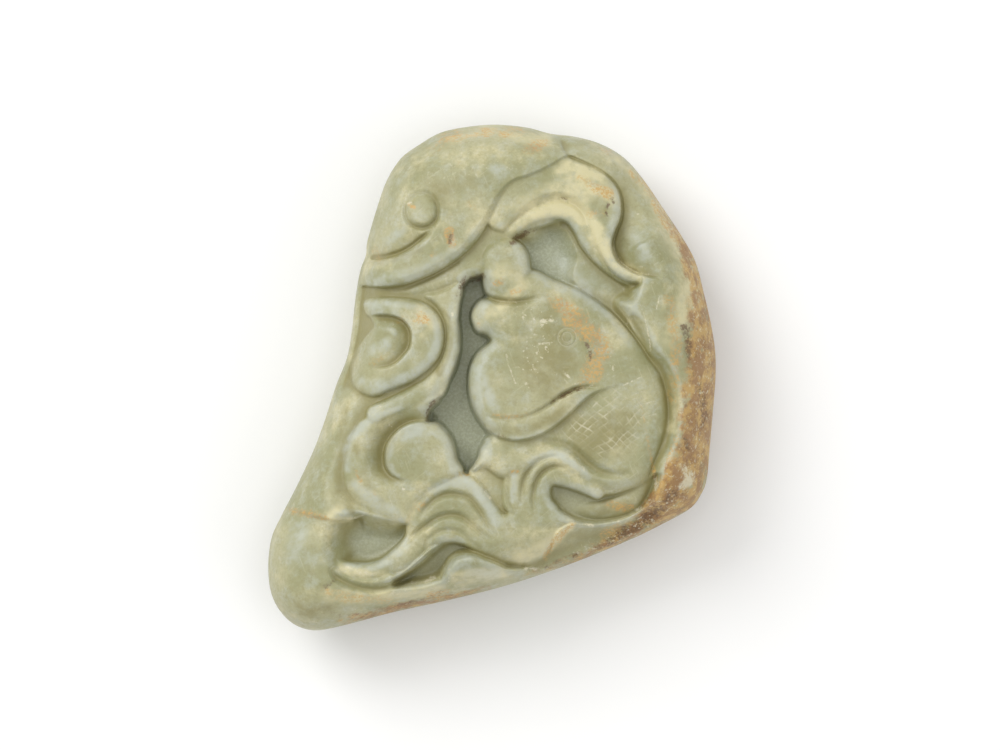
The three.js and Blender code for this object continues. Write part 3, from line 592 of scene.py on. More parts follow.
# Steps: the low side is on the left of the line, and it heals over the row's half width.
STEPS = [
    {
        "name": "behind the stem",
        "rows": [
            (548, 122, 10, 0.35), (554, 134, 11, 0.5), (560, 141, 14, 0.7),
            (563, 150, 17, 0.75), (569, 157, 14, 0.5), (578, 160.5, 12, 0.35),
            (590, 166, 14, 0.4), (603, 173.5, 22, 0.75), (613, 183, 32, 1.35),
            (619, 194, 40, 1.95), (621, 207, 44, 2.3), (619.5, 220, 46, 2.55),
            (615, 231, 48, 2.8), (612, 243, 50, 3), (613.5, 253, 48, 2.9),
            (618, 262, 44, 2.65), (627, 269, 38, 2.2), (637, 274, 32, 1.7),
            (650, 277.5, 24, 1), (662, 279, 20, 0.1),
        ],
    },
    {
        "name": "scroll 1 throat",
        "rows": [
            (362, 368, 10, 0.1), (374, 368.5, 14, 0.4), (386, 367.5, 18, 0.75),
            (395, 363.5, 20, 1), (403, 356, 21, 1.1), (408.5, 349, 21, 1.2),
            (410.5, 340, 20, 1.25), (409.5, 330, 18, 1.35), (403, 321, 16, 1.35),
            (393, 316.5, 15, 1.25), (380, 315, 15, 1.2), (371, 316, 7, 0.25),
        ],
    },
    {
        "name": "scroll 2 throat",
        "rows": [
            (405, 480, 8, 0.1), (397, 478, 12, 0.7), (389.5, 473.5, 18, 1.2),
            (385, 466, 22, 1.6), (384, 456, 24, 1.7), (385.5, 447, 24, 1.7),
            (390, 438.5, 23, 1.65), (397, 431, 20, 1.5), (406, 425, 18, 1.35),
            (416, 422, 15, 1.1), (428, 422, 12, 0.9),
        ],
    },
    {
        "name": "ledge",
        "rows": [
            (364, 516, 12, 0.15), (356, 519, 18, 0.85), (346, 521.5, 24, 0.85),
            (335, 521, 28, 0.6), (320, 518, 30, 0.4), (304, 514, 28, 0.2), (290, 511, 24, 0.1),
        ],
    },
    {
        "name": "cap volute",
        "rows": [
            (358, 258, 14, 0.6), (376, 260, 20, 0.9), (394, 257, 24, 1.1), (409, 250, 26, 1.1),
            (421, 240.5, 26, 1), (428, 234, 20, 0.5), (434, 228, 14, 0.05),
        ],
    },
]

# The drop from the fish's back to the ground behind it, and the one under its gill cover.
BACK_STEP = [
    (632, 332, 8, 0.3), (641, 346, 12, 1.15), (650, 359.5, 15, 1.85), (657.5, 371, 17, 2.25),
    (662.5, 385, 18, 2.45), (665.5, 402, 18, 2.5), (666, 418, 17, 2.4), (664.5, 434, 16, 2.15),
    (660, 450, 14, 1.85), (654, 465, 12, 1.75), (649, 480, 12, 1.75), (645, 494, 12, 1.75),
    (639, 508, 12, 1.45), (630, 520, 12, 0.45),
]
GILL_STEP = [
    (612, 387, 20, 0.1), (598, 391.5, 28, 0.5), (588, 397, 32, 0.8), (578, 405.5, 36, 1),
    (568, 415, 38, 1), (557, 424.5, 38, 1), (545, 432.5, 38, 0.95), (530, 438.5, 36, 0.9),
    (515, 440.5, 34, 0.8), (500, 438, 32, 0.8), (487, 431, 30, 0.7),
]

# Where the net of scales is scratched, and how strongly.
NET_PLACES = [
    [(552, 450, 20, 0.5), (588, 422, 30, 0.9), (614, 400, 26, 0.8)],
    [(600, 452, 24, 0.7), (628, 432, 28, 0.9), (644, 398, 18, 0.6)],
]

# Colour on the stone, and painted light and shade: soft strokes, whose fourth number is the
# strength.
STAINS = {
    # Painted shade for the most part: darker yellow-green in grooves, throats and beside forms. A
    # few strokes only tone the stone down.
    "olive_and_shade": [
        [(560, 428, 26, 0.6), (598, 430, 38, 0.9), (628, 420, 32, 0.7)],
        [(522, 345, 26, 0.5), (532, 365, 32, 0.8), (548, 388, 26, 0.7)],
        [(492, 430, 9, 0.6), (520, 431, 9, 0.8), (548, 420, 9, 0.8), (572, 402, 8, 0.6)],
        [(560, 500, 14, 0.7), (588, 512, 18, 0.9), (628, 506, 16, 0.8)],
        [(576, 535, 14, 0.7), (600, 532, 12, 0.7)],
        [(290, 600, 12, 0.4), (306, 612, 14, 0.8), (332, 608, 12, 0.6)],
        [(345, 500, 8, 0.5), (352, 512, 8, 0.8)],
        [(500, 262, 14, 0.4), (515, 275, 14, 0.4)],
        [(548, 312, 20, 0.7), (556, 340, 28, 0.9), (566, 366, 26, 0.9)],
        [(590, 445, 34, 0.7), (622, 450, 30, 0.5)],
        [(500, 300, 12, 0.5), (520, 305, 14, 0.6)],
        [(470, 180, 22, 0.5), (440, 190, 22, 0.5)],
        [(420, 250, 8, 0.6), (395, 260, 8, 0.6), (370, 262, 7, 0.5)],
        [(440, 372, 7, 0.8), (450, 345, 6, 0.8), (448, 318, 6, 0.7), (430, 300, 6, 0.6)],
        [(345, 410, 9, 0.6), (340, 450, 10, 0.7), (338, 490, 10, 0.8)],
        [(662, 380, 8, 0.9), (667, 415, 8, 1), (662, 450, 8, 0.9), (652, 475, 8, 0.7)],
        [(395, 432, 8, 0.5), (384, 455, 9, 0.7), (388, 474, 8, 0.6)],
        [(452, 400, 10, 0.3), (436, 372, 8, 0.5)],
        [(410, 160, 26, 0.4), (450, 215, 16, 0.4)],
        [(352, 440, 6, 0.4), (365, 470, 10, 0.3)],
        [(362, 480, 12, 0.5), (380, 504, 12, 0.5)],
        [(356, 452, 8, 0.4), (368, 430, 8, 0.4)],
    ],
    # Painted sheen: pale bluish highlights where the soft lights reflect on the crests, laid on as
    # colour.
    "painted_sheen": [
        [(481, 368, 9, 0.9), (484, 388, 12.5, 1.5), (494, 408, 10.5, 1.1)],
        [(366, 304, 7, 0.9), (400, 304, 7, 0.9), (430, 316, 7, 0.8), (437, 338, 8, 1.4),
         (428, 361, 10.5, 1.5), (408, 377, 10.5, 1.5), (382, 387, 11.5, 1.4),
         (362, 382, 10.5, 0.9)],
        [(372, 350, 10.5, 0.9), (386, 344, 11.5, 1.2)],
        [(347, 470, 8, 0.9), (347, 450, 8, 1.2), (354, 434, 8, 1.5), (374, 418, 7, 1.2),
         (400, 408, 6, 1.1)],
        [(354, 484, 9, 1.1), (372, 500, 12.5, 1.2), (396, 513, 10.5, 0.9)],
        [(404, 440, 9, 1.1), (414, 430, 11.5, 1.5), (424, 436, 9, 0.9)],
        [(494, 168, 10.5, 1.4), (500, 172, 14, 1.4)],
        [(418, 208, 9, 0.5), (424, 214, 9, 0.5)],
        [(388, 240, 11.5, 1.1), (404, 230, 9, 0.8)],
        [(432, 490, 10, 1.3), (450, 483, 10, 1.4), (468, 484, 10, 1.4), (484, 500, 11, 1.8),
         (496, 522, 11, 1.4)],
        [(514, 476, 7, 1.2), (513, 500, 7, 1.2)],
        [(530, 462, 7, 1.2), (552, 454, 7, 1.4), (572, 464, 7, 1.2), (588, 478, 7, 0.8)],
        [(575, 290, 8, 0.8), (600, 306, 9, 0.9), (630, 345, 10.5, 0.8)],
        [(300, 530, 18.5, 1.1), (290, 560, 16, 0.8), (316, 560, 16, 0.6)],
        [(470, 575, 14, 0.9), (496, 574, 10.5, 1.2)],
        [(385, 276, 8, 0.8), (420, 268, 9, 0.9), (452, 248, 9, 0.8)],
        [(560, 262, 18.5, 0.8), (585, 288, 16, 1.1)],
        [(636, 238, 14, 0.9), (644, 256, 14, 0.9)],
    ],
    "warm": [
        [(505, 232, 14, 0.8), (530, 215, 16, 1.2), (558, 208, 16, 1.3), (580, 215, 16, 1.3),
         (598, 240, 16, 1.3), (612, 260, 14, 1.2), (640, 278, 12, 0.9)],
        [(560, 172, 16, 0.7), (590, 180, 16, 1), (612, 200, 12, 1)],
        [(545, 140, 14, 0.9), (520, 138, 14, 0.8), (485, 132, 12, 0.7), (450, 140, 12, 0.7)],
        [(620, 160, 12, 0.8), (650, 195, 14, 0.9), (680, 250, 20, 1), (690, 300, 24, 1.2),
         (670, 340, 20, 0.7)],
        [(340, 568, 8, 1), (360, 574, 9, 1.2), (385, 574, 9, 0.7)],
        [(408, 520, 8, 0.9), (416, 504, 8, 0.9)],
        [(326, 595, 14, 1), (360, 598, 14, 1), (400, 596, 12, 1), (440, 590, 12, 0.9)],
        [(520, 558, 16, 1.2), (545, 545, 12, 1.3), (570, 526, 8, 1.3)],
        [(342, 505, 8, 0.9), (330, 519, 8, 1), (350, 520, 6, 1)],
        [(500, 272, 20, 0.9), (520, 285, 14, 0.8), (490, 316, 14, 0.9)],
        [(418, 310, 10, 0.8), (430, 325, 10, 0.8)],
        [(680, 395, 16, 0.9), (672, 430, 10, 1)],
        [(455, 578, 12, 1), (480, 576, 14, 1.2), (502, 574, 10, 1.2)],
        [(570, 165, 14, 0.8), (600, 175, 12, 0.8)],
        [(560, 190, 16, 0.9), (585, 195, 18, 1)],
        [(520, 205, 14, 0.6), (545, 190, 16, 0.7)],
        [(560, 200, 18, 0.4), (600, 230, 12, 0.5)],
    ],
    "orange": [
        [(526, 149, 9, 0.9), (534, 147, 12, 1.1), (545, 143, 9, 0.9)],
        [(440, 138, 8, 0.6), (455, 133, 9, 0.7)],
        [(483, 129, 5, 0.6), (487, 134, 6, 0.7)],
        [(503, 136, 6, 0.6), (506, 136, 6, 0.6)],
        [(457, 161, 6, 0.5), (457, 165, 6, 0.5)],
        [(449, 232, 8, 1.7), (451, 243, 8, 1.7)],
        [(432, 256, 6, 0.7), (436, 252, 5, 0.6)],
        [(470, 204, 8, 0.5), (474, 208, 8, 0.5)],
        [(409, 205, 4, 0.8), (414, 208, 5, 0.7)],
        [(374, 250, 7, 0.6), (380, 262, 8, 0.5)],
        [(572, 176, 9, 0.3), (586, 181, 9, 0.6), (598, 189, 10, 1.1), (609, 195, 9, 1.4)],
        [(590, 214, 12, 0.5), (604, 214, 8, 0.5)],
        [(495, 284, 6, 0.9), (502, 281, 6, 1.1)],
        [(511, 293, 6, 0.6), (522, 290, 6, 0.6)],
        [(477, 324, 5, 0.7), (481, 329, 5, 0.5)],
        [(553, 298, 13, 0.7), (562, 306, 16, 1.1), (572, 318, 19, 1.3), (584, 328, 19, 1.3),
         (596, 338, 18, 1.1), (602, 350, 17, 1.1), (596, 363, 19, 1.3), (590, 375, 18, 1.1),
         (583, 384, 14, 0.7)],
        [(493, 415, 5, 0.5), (508, 417, 6, 0.7), (528, 414, 5, 0.3)],
        [(286, 510, 6, 0.7), (300, 513, 7, 1), (315, 516, 6, 1.3), (326, 519, 5, 0.9)],
        [(654, 206, 6, 0.5), (664, 221, 7, 1), (674, 236, 8, 0.8)],
        [(600, 147, 5, 0.5), (610, 152, 7, 0.8)],
        [(630, 172, 6, 0.6), (636, 180, 6, 0.6)],
        [(416, 311, 8, 0.6), (424, 318, 8, 0.8)],
        [(356, 472, 4, 0.7), (360, 481, 5, 0.8)],
        [(374, 491, 3, 0.6), (375, 495, 3, 0.6)],
        [(512, 472, 4, 1), (517, 471, 4, 1)],
        [(417, 509, 7, 0.8), (424, 503, 6, 0.7)],
        [(460, 474, 5, 0.7), (468, 475, 5, 0.7)],
        [(322, 590, 8, 0.5), (340, 597, 12, 0.6), (368, 599, 10, 0.5), (396, 603, 8, 0.5)],
        [(428, 596, 6, 1), (446, 592, 7, 0.9)],
        [(573, 523, 6, 0.7), (560, 536, 8, 0.9), (549, 549, 7, 0.9), (544, 560, 5, 0.7)],
        [(600, 500, 10, 0.3), (622, 508, 9, 1), (632, 506, 7, 0.9)],
        [(604, 534, 9, 0.9), (618, 528, 9, 0.9)],
        [(380, 358, 9, 0.5), (372, 364, 8, 0.5)],
        [(640, 400, 3, 0.3), (660, 500, 5, 1), (668, 470, 7, 1), (676, 440, 7, 0.9)],
        [(430, 150, 14, 0.4), (470, 135, 12, 0.5), (520, 130, 12, 0.6)],
        [(640, 178, 9, 0.6), (662, 210, 10, 0.7), (684, 250, 10, 0.7)],
        [(668, 300, 12, 0.6), (676, 350, 14, 0.7), (672, 400, 12, 0.6)],
        [(400, 320, 10, 0.5), (428, 322, 10, 0.6)],
    ],
    "russet": [
        [(626, 152, 9, 0.3), (650, 186, 11, 0.4), (674, 226, 14, 0.5), (689, 256, 19, 0.8),
         (698, 288, 23, 0.8), (704, 322, 30, 1), (706, 356, 35, 1.1), (704, 400, 40, 1.1),
         (700, 440, 40, 1.1), (694, 475, 35, 1), (682, 500, 32, 1), (658, 516, 27, 0.9),
         (634, 531, 22, 0.8), (600, 548, 16, 0.6), (560, 564, 12, 0.5), (520, 577, 9, 0.4)],
        [(672, 470, 16, 0.9), (664, 492, 18, 1), (654, 506, 19, 1)],
        [(340, 622, 11, 0.5), (370, 616, 12, 0.6), (410, 606, 11, 0.6), (450, 598, 9, 0.6),
         (490, 587, 7, 0.5)],
    ],
    # Dirt in pits and broken edges and dark spots on the skin, and painted shadow under undercut
    # rims.
    "brown_and_shadow": [
        [(683, 326, 5.5, 0.9), (687, 340, 8.5, 1.3), (688, 352, 8.5, 1.3),
         (688, 363, 5.5, 0.6)],
        [(682, 327, 5.5, 1), (688, 328, 5.5, 1)],
        [(700, 384, 8.5, 0.7), (703, 400, 11, 1), (704, 415, 12.5, 1.1), (702, 428, 10, 0.8)],
        [(702, 335, 8.5, 0.4), (708, 350, 10, 0.8), (710, 370, 8.5, 0.7)],
        [(685, 440, 7, 1), (689, 452, 7, 0.9), (690, 463, 5.5, 0.7)],
        [(692, 487, 8.5, 0.6), (677, 494, 11, 1), (664, 504, 12.5, 1.2), (652, 515, 15.5, 1.3),
         (640, 524, 14, 1.3), (626, 531, 12.5, 1.3), (612, 541, 11, 1.1), (596, 549, 8.5, 0.8)],
        [(530, 572, 7, 0.7), (560, 562, 8.5, 0.9), (578, 555, 8.5, 0.8)],
        [(323, 588, 8.5, 0.7), (330, 584, 5.5, 0.9), (337, 577, 5.5, 0.6)],
        [(328, 612, 10, 0.4), (350, 619, 11, 0.8), (378, 611, 10, 0.7), (404, 604, 8.5, 0.7),
         (430, 598, 7, 0.7), (440, 594, 8.5, 1)],
        [(551, 403, 3.6, 0.7), (562, 396.5, 4.7, 1.4), (575, 390, 4.7, 1.4),
         (588, 387, 3.6, 0.7)],
        [(582, 336, 3.6, 0.4), (586, 345, 4.3, 1.1), (589.5, 352, 4.7, 1.5),
         (590, 361, 3.6, 0.7)],
        [(612, 199, 4.5, 1.3), (613.5, 203, 3.6, 1.1)],
        [(608, 205, 3.6, 1.3), (606.5, 209, 3.6, 1.2)],
        [(606, 213, 2.9, 1.3), (607, 216, 2.9, 1.1)],
        [(561, 198, 3.6, 0.9), (566, 199, 3.6, 0.9)],
        [(451, 236, 4.5, 1.3), (449.5, 244, 4.5, 1.1)],
        # These three strokes are painted shadow along the undercut rims of the deep well and the
        # arch.
        [(456, 306, 5.5, 0.4), (459, 293, 8.5, 1), (466, 282, 10, 1.2), (481, 277, 8.5, 1.2)],
        [(511, 244, 7, 1.1), (520, 236, 8.5, 1.3), (532, 231, 7, 0.9), (546, 229, 5.5, 0.3)],
        [(444, 395, 5.5, 0.4), (436, 401, 5.5, 1.1), (429, 408, 5.5, 1.2),
         (427, 420, 5.5, 1.1)],
        [(499, 436, 5.5, 0.9), (508, 439, 5.5, 0.9)],
    ],
    "pale": [
        [(541, 322, 5, 0.9), (552, 320, 5, 0.9)],
        [(534, 335, 3, 0.8), (538, 336, 3, 0.8)],
        [(539, 344, 3, 0.9), (551, 343, 3, 0.8)],
        [(506, 355, 2.5, 0.9), (508, 365, 2, 0.8), (511, 373, 2, 1), (515, 383, 2.2, 1.2)],
        [(534, 369, 5, 0.7), (537, 372, 5, 0.9)],
        [(563, 372, 3, 0.8), (569, 378, 3, 0.9)],
        [(412, 583, 4, 1.1), (415, 582, 4, 1.1)],
        [(426, 582, 5, 1), (434, 578, 5, 1)],
        [(392, 594, 6, 0.9), (398, 593, 5, 0.8)],
        [(583, 524, 4, 0.8), (592, 526, 4, 1.2)],
        [(636, 510, 4, 1.1), (640, 508, 4, 1.1)],
        [(646, 503, 5, 0.7), (650, 501, 5, 0.7)],
        [(618, 522, 6, 0.8), (626, 516, 5, 0.6)],
        [(654, 472, 4, 0.5), (656, 484, 6, 1), (655, 490, 5, 0.6)],
        [(681, 466, 8, 0.8), (690, 478, 11, 1.2), (682, 487, 9, 1)],
        [(582, 467, 3, 1), (584, 470, 3, 1)],
        [(639.6, 304, 1.6, 0.7), (644, 317, 1.7, 0.9), (647, 331, 1.7, 1),
         (649.5, 345, 1.7, 1.1), (650.5, 360, 1.5, 0.7)],
        [(629.5, 310, 1.6, 0.6), (626.6, 324, 1.8, 1.1)],
        [(659, 297, 1.8, 0.9), (656, 309, 1.8, 0.8)],
        [(408, 204, 3, 1), (411, 203, 2.5, 0.9)],
        [(484, 492, 2.4, 1.1), (490, 499, 2.6, 1.1)],
        [(525, 569, 5, 1), (536, 570, 4, 0.9)],
        [(452, 312, 3, 0.9), (452, 316, 3, 1)],
        [(377, 408, 2.5, 1), (380, 407, 2.5, 1)],
        [(389, 425, 2.5, 0.9), (391, 427, 2.5, 0.9)],
        [(402, 489, 2.5, 1), (405, 490, 2.5, 1)],
        [(340, 519, 3, 0.7), (355, 518, 3, 1), (364, 515, 2.5, 0.8)],
        [(345, 567, 5, 0.7), (360, 573, 6, 0.8), (376, 574, 5, 0.6)],
        [(592, 248, 2, 1), (594, 249, 2, 1)],
        [(624, 278, 3, 0.9), (628, 280, 3, 1)],
        [(637, 214, 2, 1.1), (639, 214, 2, 1.1)],
        [(285, 518, 3, 0.5), (292, 508, 3, 0.6), (300, 488, 2, 0.5)],
        [(622, 386, 1.5, 0.9), (641, 377, 1.5, 1)],
        [(630, 396, 1.5, 0.8), (650, 389, 1.5, 0.9)],
        [(634, 407, 1.5, 0.8), (655, 401, 1.5, 0.8)],
        [(640, 418, 1.5, 0.8), (656, 414, 1.5, 0.8)],
        [(610, 378, 1.5, 0.7), (632, 367, 1.5, 0.8)],
    ],
    "specks": [
        [(500, 305, 18, 0.5), (530, 315, 22, 0.9), (545, 335, 26, 1), (530, 360, 26, 1),
         (528, 385, 20, 0.7)],
        [(604, 352, 12, 0.8), (610, 372, 12, 0.8), (590, 386, 8, 0.6)],
        [(575, 380, 16, 0.7), (560, 374, 14, 0.6)],
        [(640, 270, 22, 0.5), (670, 290, 20, 0.4), (650, 230, 20, 0.4)],
        [(400, 560, 20, 0.4), (440, 565, 16, 0.5), (450, 580, 20, 0.6), (400, 590, 16, 0.6)],
        [(690, 300, 18, 0.6), (704, 340, 18, 0.9), (704, 400, 18, 0.9), (696, 460, 18, 0.8),
         (660, 510, 22, 1), (620, 535, 16, 0.9), (570, 555, 12, 0.6)],
        [(470, 150, 30, 0.5), (430, 180, 30, 0.4), (520, 160, 24, 0.5)],
        [(380, 320, 20, 0.3), (420, 360, 20, 0.3)],
    ],
}


def ease(value):
    """A soft rise from 0 to 1."""
    t = np.clip(value, 0, 1)
    return t * t * (3 - 2 * t)


def round_over(from_edge):
    """A quarter round: 0 at the far end of the rounding, 1 at the very edge."""
    return 1 - np.sqrt(np.clip(1 - (1 - np.clip(from_edge, 0, 1)) ** 2, 0, 1))


def soft_max(a, b):
    """The higher of two levels, blended where they are close."""
    h = np.clip(0.5 + 0.5 * (a - b) / BLEND, 0, 1)
    return b + (a - b) * h + BLEND * h * (1 - h)


def smooth_curve(rows, closed):
    """A Catmull-Rom curve through rows of numbers, as points close together."""
    points = np.array(rows, float)
    if closed:
        before, after, beyond = (np.roll(points, k, axis=0) for k in (1, -1, -2))
    else:
        padded = np.vstack([points[:1], points, points[-1:]])
        before, after, beyond = padded[:-3], padded[2:-1], padded[3:]
        points = points[:-1]
    pieces = []
    for k in range(CURVE_STEPS):
        t = k / CURVE_STEPS
        pieces.append(0.5 * (
            2 * points
            + (after - before) * t
            + (2 * before - 5 * points + 4 * after - beyond) * t * t
            + (3 * points - before - 3 * after + beyond) * t ** 3
        ))
    line = np.stack(pieces, axis=1).reshape(-1, points.shape[1])
    return line if closed else np.vstack([line, rows[-1]])


def frame_of_drawing():
    """The middle of the drawn outline, and the millimetres in a unit across and up."""
    curve = smooth_curve(DRAWN_OUTLINE, True)
    low, high = curve.min(axis=0), curve.max(axis=0)
    return (low + high) / 2, np.array([WIDTH, LENGTH]) / (high - low)


MIDDLE, UNIT = frame_of_drawing()


def to_pebble(rows):
    """Rows of the drawing in millimetres on the pebble, each with a size and a value."""
    points = np.zeros((len(rows), 4))
    points[:, :len(rows[0])] = rows
    points[:, 0] = (points[:, 0] - MIDDLE[0]) * UNIT[0]
    points[:, 1] = (MIDDLE[1] - points[:, 1]) * UNIT[1]
    points[:, 2] *= UNIT.mean()
    return points


def trace(rows, closed=False):
    """The smooth line through rows of the drawing, on the pebble."""
    return to_pebble(smooth_curve(rows, closed))


# The drawing is worked out on a sheet: a fine square raster over the pebble.
ACROSS = np.arange(-WIDTH / 2 - SHEET_MARGIN, WIDTH / 2 + SHEET_MARGIN, SHEET_STEP)
UP = np.arange(-LENGTH / 2 - SHEET_MARGIN, LENGTH / 2 + SHEET_MARGIN, SHEET_STEP)


def empty_sheet():
    return np.zeros((len(UP), len(ACROSS)))


def window_around(points, margin):
    """The part of the sheet within a margin of some points."""
    low, high = points.min(axis=0), points.max(axis=0)
    left, right = np.searchsorted(ACROSS, (low[0] - margin, high[0] + margin))
    bottom, top = np.searchsorted(UP, (low[1] - margin, high[1] + margin))
    return slice(bottom, top), slice(left, right)


def within_window(part, window):
    """A part of the sheet as slices of a window that holds it."""
    return tuple(slice(p.start - w.start, p.stop - w.start) for p, w in zip(part, window))


def along(line, margin, closed=False):
    """The window of the sheet near a line, with the distance to the line, its size and
    value at the nearest place, and the side, which is positive on the left."""
    window = window_around(line, margin)
    shape = [part.stop - part.start for part in window]
    best = np.full(shape, float(margin))
    size, value, side = np.ones(shape), np.zeros(shape), np.zeros(shape)
    ends = np.roll(line, -1, axis=0) if closed else line[1:]
    for a, b in zip(line, ends):
        part = window_around(np.array([a, b]), margin)
        here = within_window(part, window)
        x, y = ACROSS[part[1]][None, :] - a[0], UP[part[0]][:, None] - a[1]
        dx, dy = b[0] - a[0], b[1] - a[1]
        t = np.clip((x * dx + y * dy) / max(dx * dx + dy * dy, 1e-12), 0, 1)
        ex, ey = x - t * dx, y - t * dy
        distance = np.hypot(ex, ey)
        closer = distance < best[here]
        best[here][closer] = distance[closer]
        size[here][closer] = (a[2] + t * (b[2] - a[2]))[closer]
        value[here][closer] = (a[3] + t * (b[3] - a[3]))[closer]
        side[here][closer] = (dx * ey - dy * ex)[closer]
    return window, best, size, value, side


def depth_inside(line, margin):
    """How far inside a closed line the sheet is; outside it is negative."""
    window, distance, *_ = along(line, margin, closed=True)
    x, y = ACROSS[window[1]], UP[window[0]]
    within = np.zeros(distance.shape, bool)
    for a, b in zip(line, np.roll(line, -1, axis=0)):
        crossed = (a[1] > y) != (b[1] > y)
        if crossed.any():
            edge = (b[0] - a[0]) * (y[crossed] - a[1]) / (b[1] - a[1]) + a[0]
            within[crossed] ^= x[None, :] < edge[:, None]
    return window, np.where(within, distance, -distance)


def level_of(form):
    """The window that one form reaches, and its level there."""
    if "level" in form:
        margin = max(CARVING_INSET, form["width"])
        window, depth = depth_inside(trace(form["rows"], True), margin)
        level = form["level"] - form["crown"] * round_over(depth / form["width"])
        return window, np.where(depth >= 0, level, level + depth * form["wall"])
    line = trace(form["rows"])
    window, distance, size, value, _ = along(line, line[:, 2].max() + CARVING_INSET)
    level = value - form["crown"] * round_over(1 - distance / size)
    return window, np.where(distance <= size, level, level - (distance - size) * form["wall"])


def step_down(rows):
    """A sheet with the drop of a step: steep on the line, healing over the row's size."""
    line = trace(rows)
    window, distance, size, value, side = along(line, line[:, 2].max())
    low = ease(distance / STEP_WIDTH + 0.5) * (1 - ease(distance / size))
    drop = empty_sheet()
    drop[window] = value * np.where(side > 0, low, ease(0.5 - distance / STEP_WIDTH))
    return drop


def strokes(entries):
    """A sheet with the sum of soft strokes: full on each line, nothing at its half width."""
    total = empty_sheet()
    for rows in entries:
        line = trace(rows)
        window, distance, size, value, _ = along(line, line[:, 2].max())
        total[window] += value * (1 - ease(distance / size))
    return total


def knob_level():
    """Level of the fungus cap's round knob; away from it the level falls off."""
    centre = to_pebble([KNOB_PLACE])[0]
    x, y = ACROSS[None, :] - centre[0], UP[:, None] - centre[1]
    t = np.hypot(x, y) / (KNOB_DIAMETER / 2)
    level = KNOB_LEVEL - KNOB_CROWN * round_over((1 - t) / KNOB_ROUNDING)
    return np.where(t <= 1, level, level - (t - 1) * KNOB_WALL * KNOB_DIAMETER / 2)


def lumps(size, seed):
    """A sheet of soft lumps about a size across, from -1 to 1."""
    across, up = (ACROSS - ACROSS[0]) / size, (UP - UP[0]) / size
    i, j = across.astype(int), up.astype(int)
    u, v = ease(across - i)[None, :], ease(up - j)[:, None]
    heights = np.random.default_rng(seed).uniform(-1, 1, (j[-1] + 2, i[-1] + 2))
    lower = heights[j][:, i] * (1 - u) + heights[j][:, i + 1] * u
    upper = heights[j + 1][:, i] * (1 - u) + heights[j + 1][:, i + 1] * u
    return lower * (1 - v) + upper * v


def ruled(place, spacing):
    """Fine parallel lines: 1 on each line, 0 between them."""
    off = np.abs(np.mod(place / spacing, 1) - 0.5) * spacing
    return 1 - ease(off / NET_LINE)


def scale_net():
    """A sheet of the scratched lines that cross on the fish's flank."""
    x = ACROSS[None, :] + NET_WAVER * lumps(*WAVER_ACROSS)
    y = UP[:, None] + NET_WAVER * lumps(*WAVER_UP)
    falling, rising = (x * NET_LEAN + y) / NET_LENGTH, (x * NET_LEAN - y) / NET_LENGTH
    lines = np.maximum(ruled(falling, NET_SPACING), ruled(rising, NET_SPACING))
    return lines * np.clip(strokes(NET_PLACES), 0, 1) * (0.75 + 0.5 * lumps(*NET_FADING))


def eye_rings():
    """A sheet of the two thin rings that are cut for the fish's eye."""
    centre = to_pebble([EYE_PLACE])[0]
    out = np.hypot(ACROSS[None, :] - centre[0], UP[:, None] - centre[1])
    off = np.minimum(*(np.abs(out - diameter / 2) for diameter in EYE_DIAMETERS))
    return 1 - ease(off / EYE_LINE)


def worked_surface():
    """A sheet of small unevenness: hand-worked everywhere, pitted where skin or dirt is, and where
    shadow is painted under undercut rims.
    """
    rough = np.clip(strokes(STAINS["brown_and_shadow"]) + 0.4 * strokes(STAINS["pale"]), 0, 1)
    skin = np.clip(strokes(STAINS["russet"]), 0, 1)
    skin += 0.5 * np.clip(strokes(STAINS["orange"]), 0, 1)
    pits = lumps(*FINE_PITS) + 0.8 * lumps(*COARSE_PITS)
    swell = WIDE_SWELL_HEIGHT * lumps(*WIDE_SWELL) + SMALL_SWELL_HEIGHT * lumps(*SMALL_SWELL)
    return swell + pits * (PIT_DEPTH * rough + SKIN_PIT_DEPTH * skin) - BROKEN_DEPTH * rough


def relief():
    """Height of the carving against the pebble's own face; the hollows are negative."""
    level = empty_sheet()
    for well in WELLS:
        window, depth = depth_inside(trace(well["rows"], True), well["bank"])
        bank = ease((depth + well["bank"]) / (2 * well["bank"]))
        level[window] = np.minimum(level[window], -well["depth"] * bank)
    level = np.minimum(level, -step_down(BACK_STEP))
    gill = step_down(GILL_STEP)
    for form in FORMS:
        window, height = level_of(form)
        if form["name"] == "fish":
            height = height - gill[window]
        level[window] = soft_max(level[window], height)
    level -= strokes(groove["rows"] for groove in GROOVES)
    for step in STEPS:
        level -= step_down(step["rows"])
    return soft_max(level, knob_level())


def blur(sheet, reach):
    """The sheet with each place made the mean of its neighbours, twice over."""
    width = 2 * round(reach / SHEET_STEP) + 1
    weights = np.ones(width) / width
    for _ in range(2):
        for axis in (0, 1):
            sheet = np.apply_along_axis(np.convolve, axis, sheet, weights, "same")
    return sheet


def worn(carved):
    """Softens the carving as hands have, but leaves the deep hollows' edges crisp."""
    crisp = ease((blur(-carved, CRISP_REACH) - CRISP_DEPTH) / CRISP_BLEND)
    return carved * crisp + blur(carved, WEAR) * (1 - crisp)


def sample(sheet, x, y):
    """Values of a sheet at places between its own."""
    across, up = (x - ACROSS[0]) / SHEET_STEP, (y - UP[0]) / SHEET_STEP
    i, j = across.astype(int), up.astype(int)
    u, v = across - i, up - j
    lower = sheet[j, i] * (1 - u) + sheet[j, i + 1] * u
    upper = sheet[j + 1, i] * (1 - u) + sheet[j + 1, i + 1] * u
    return lower * (1 - v) + upper * v


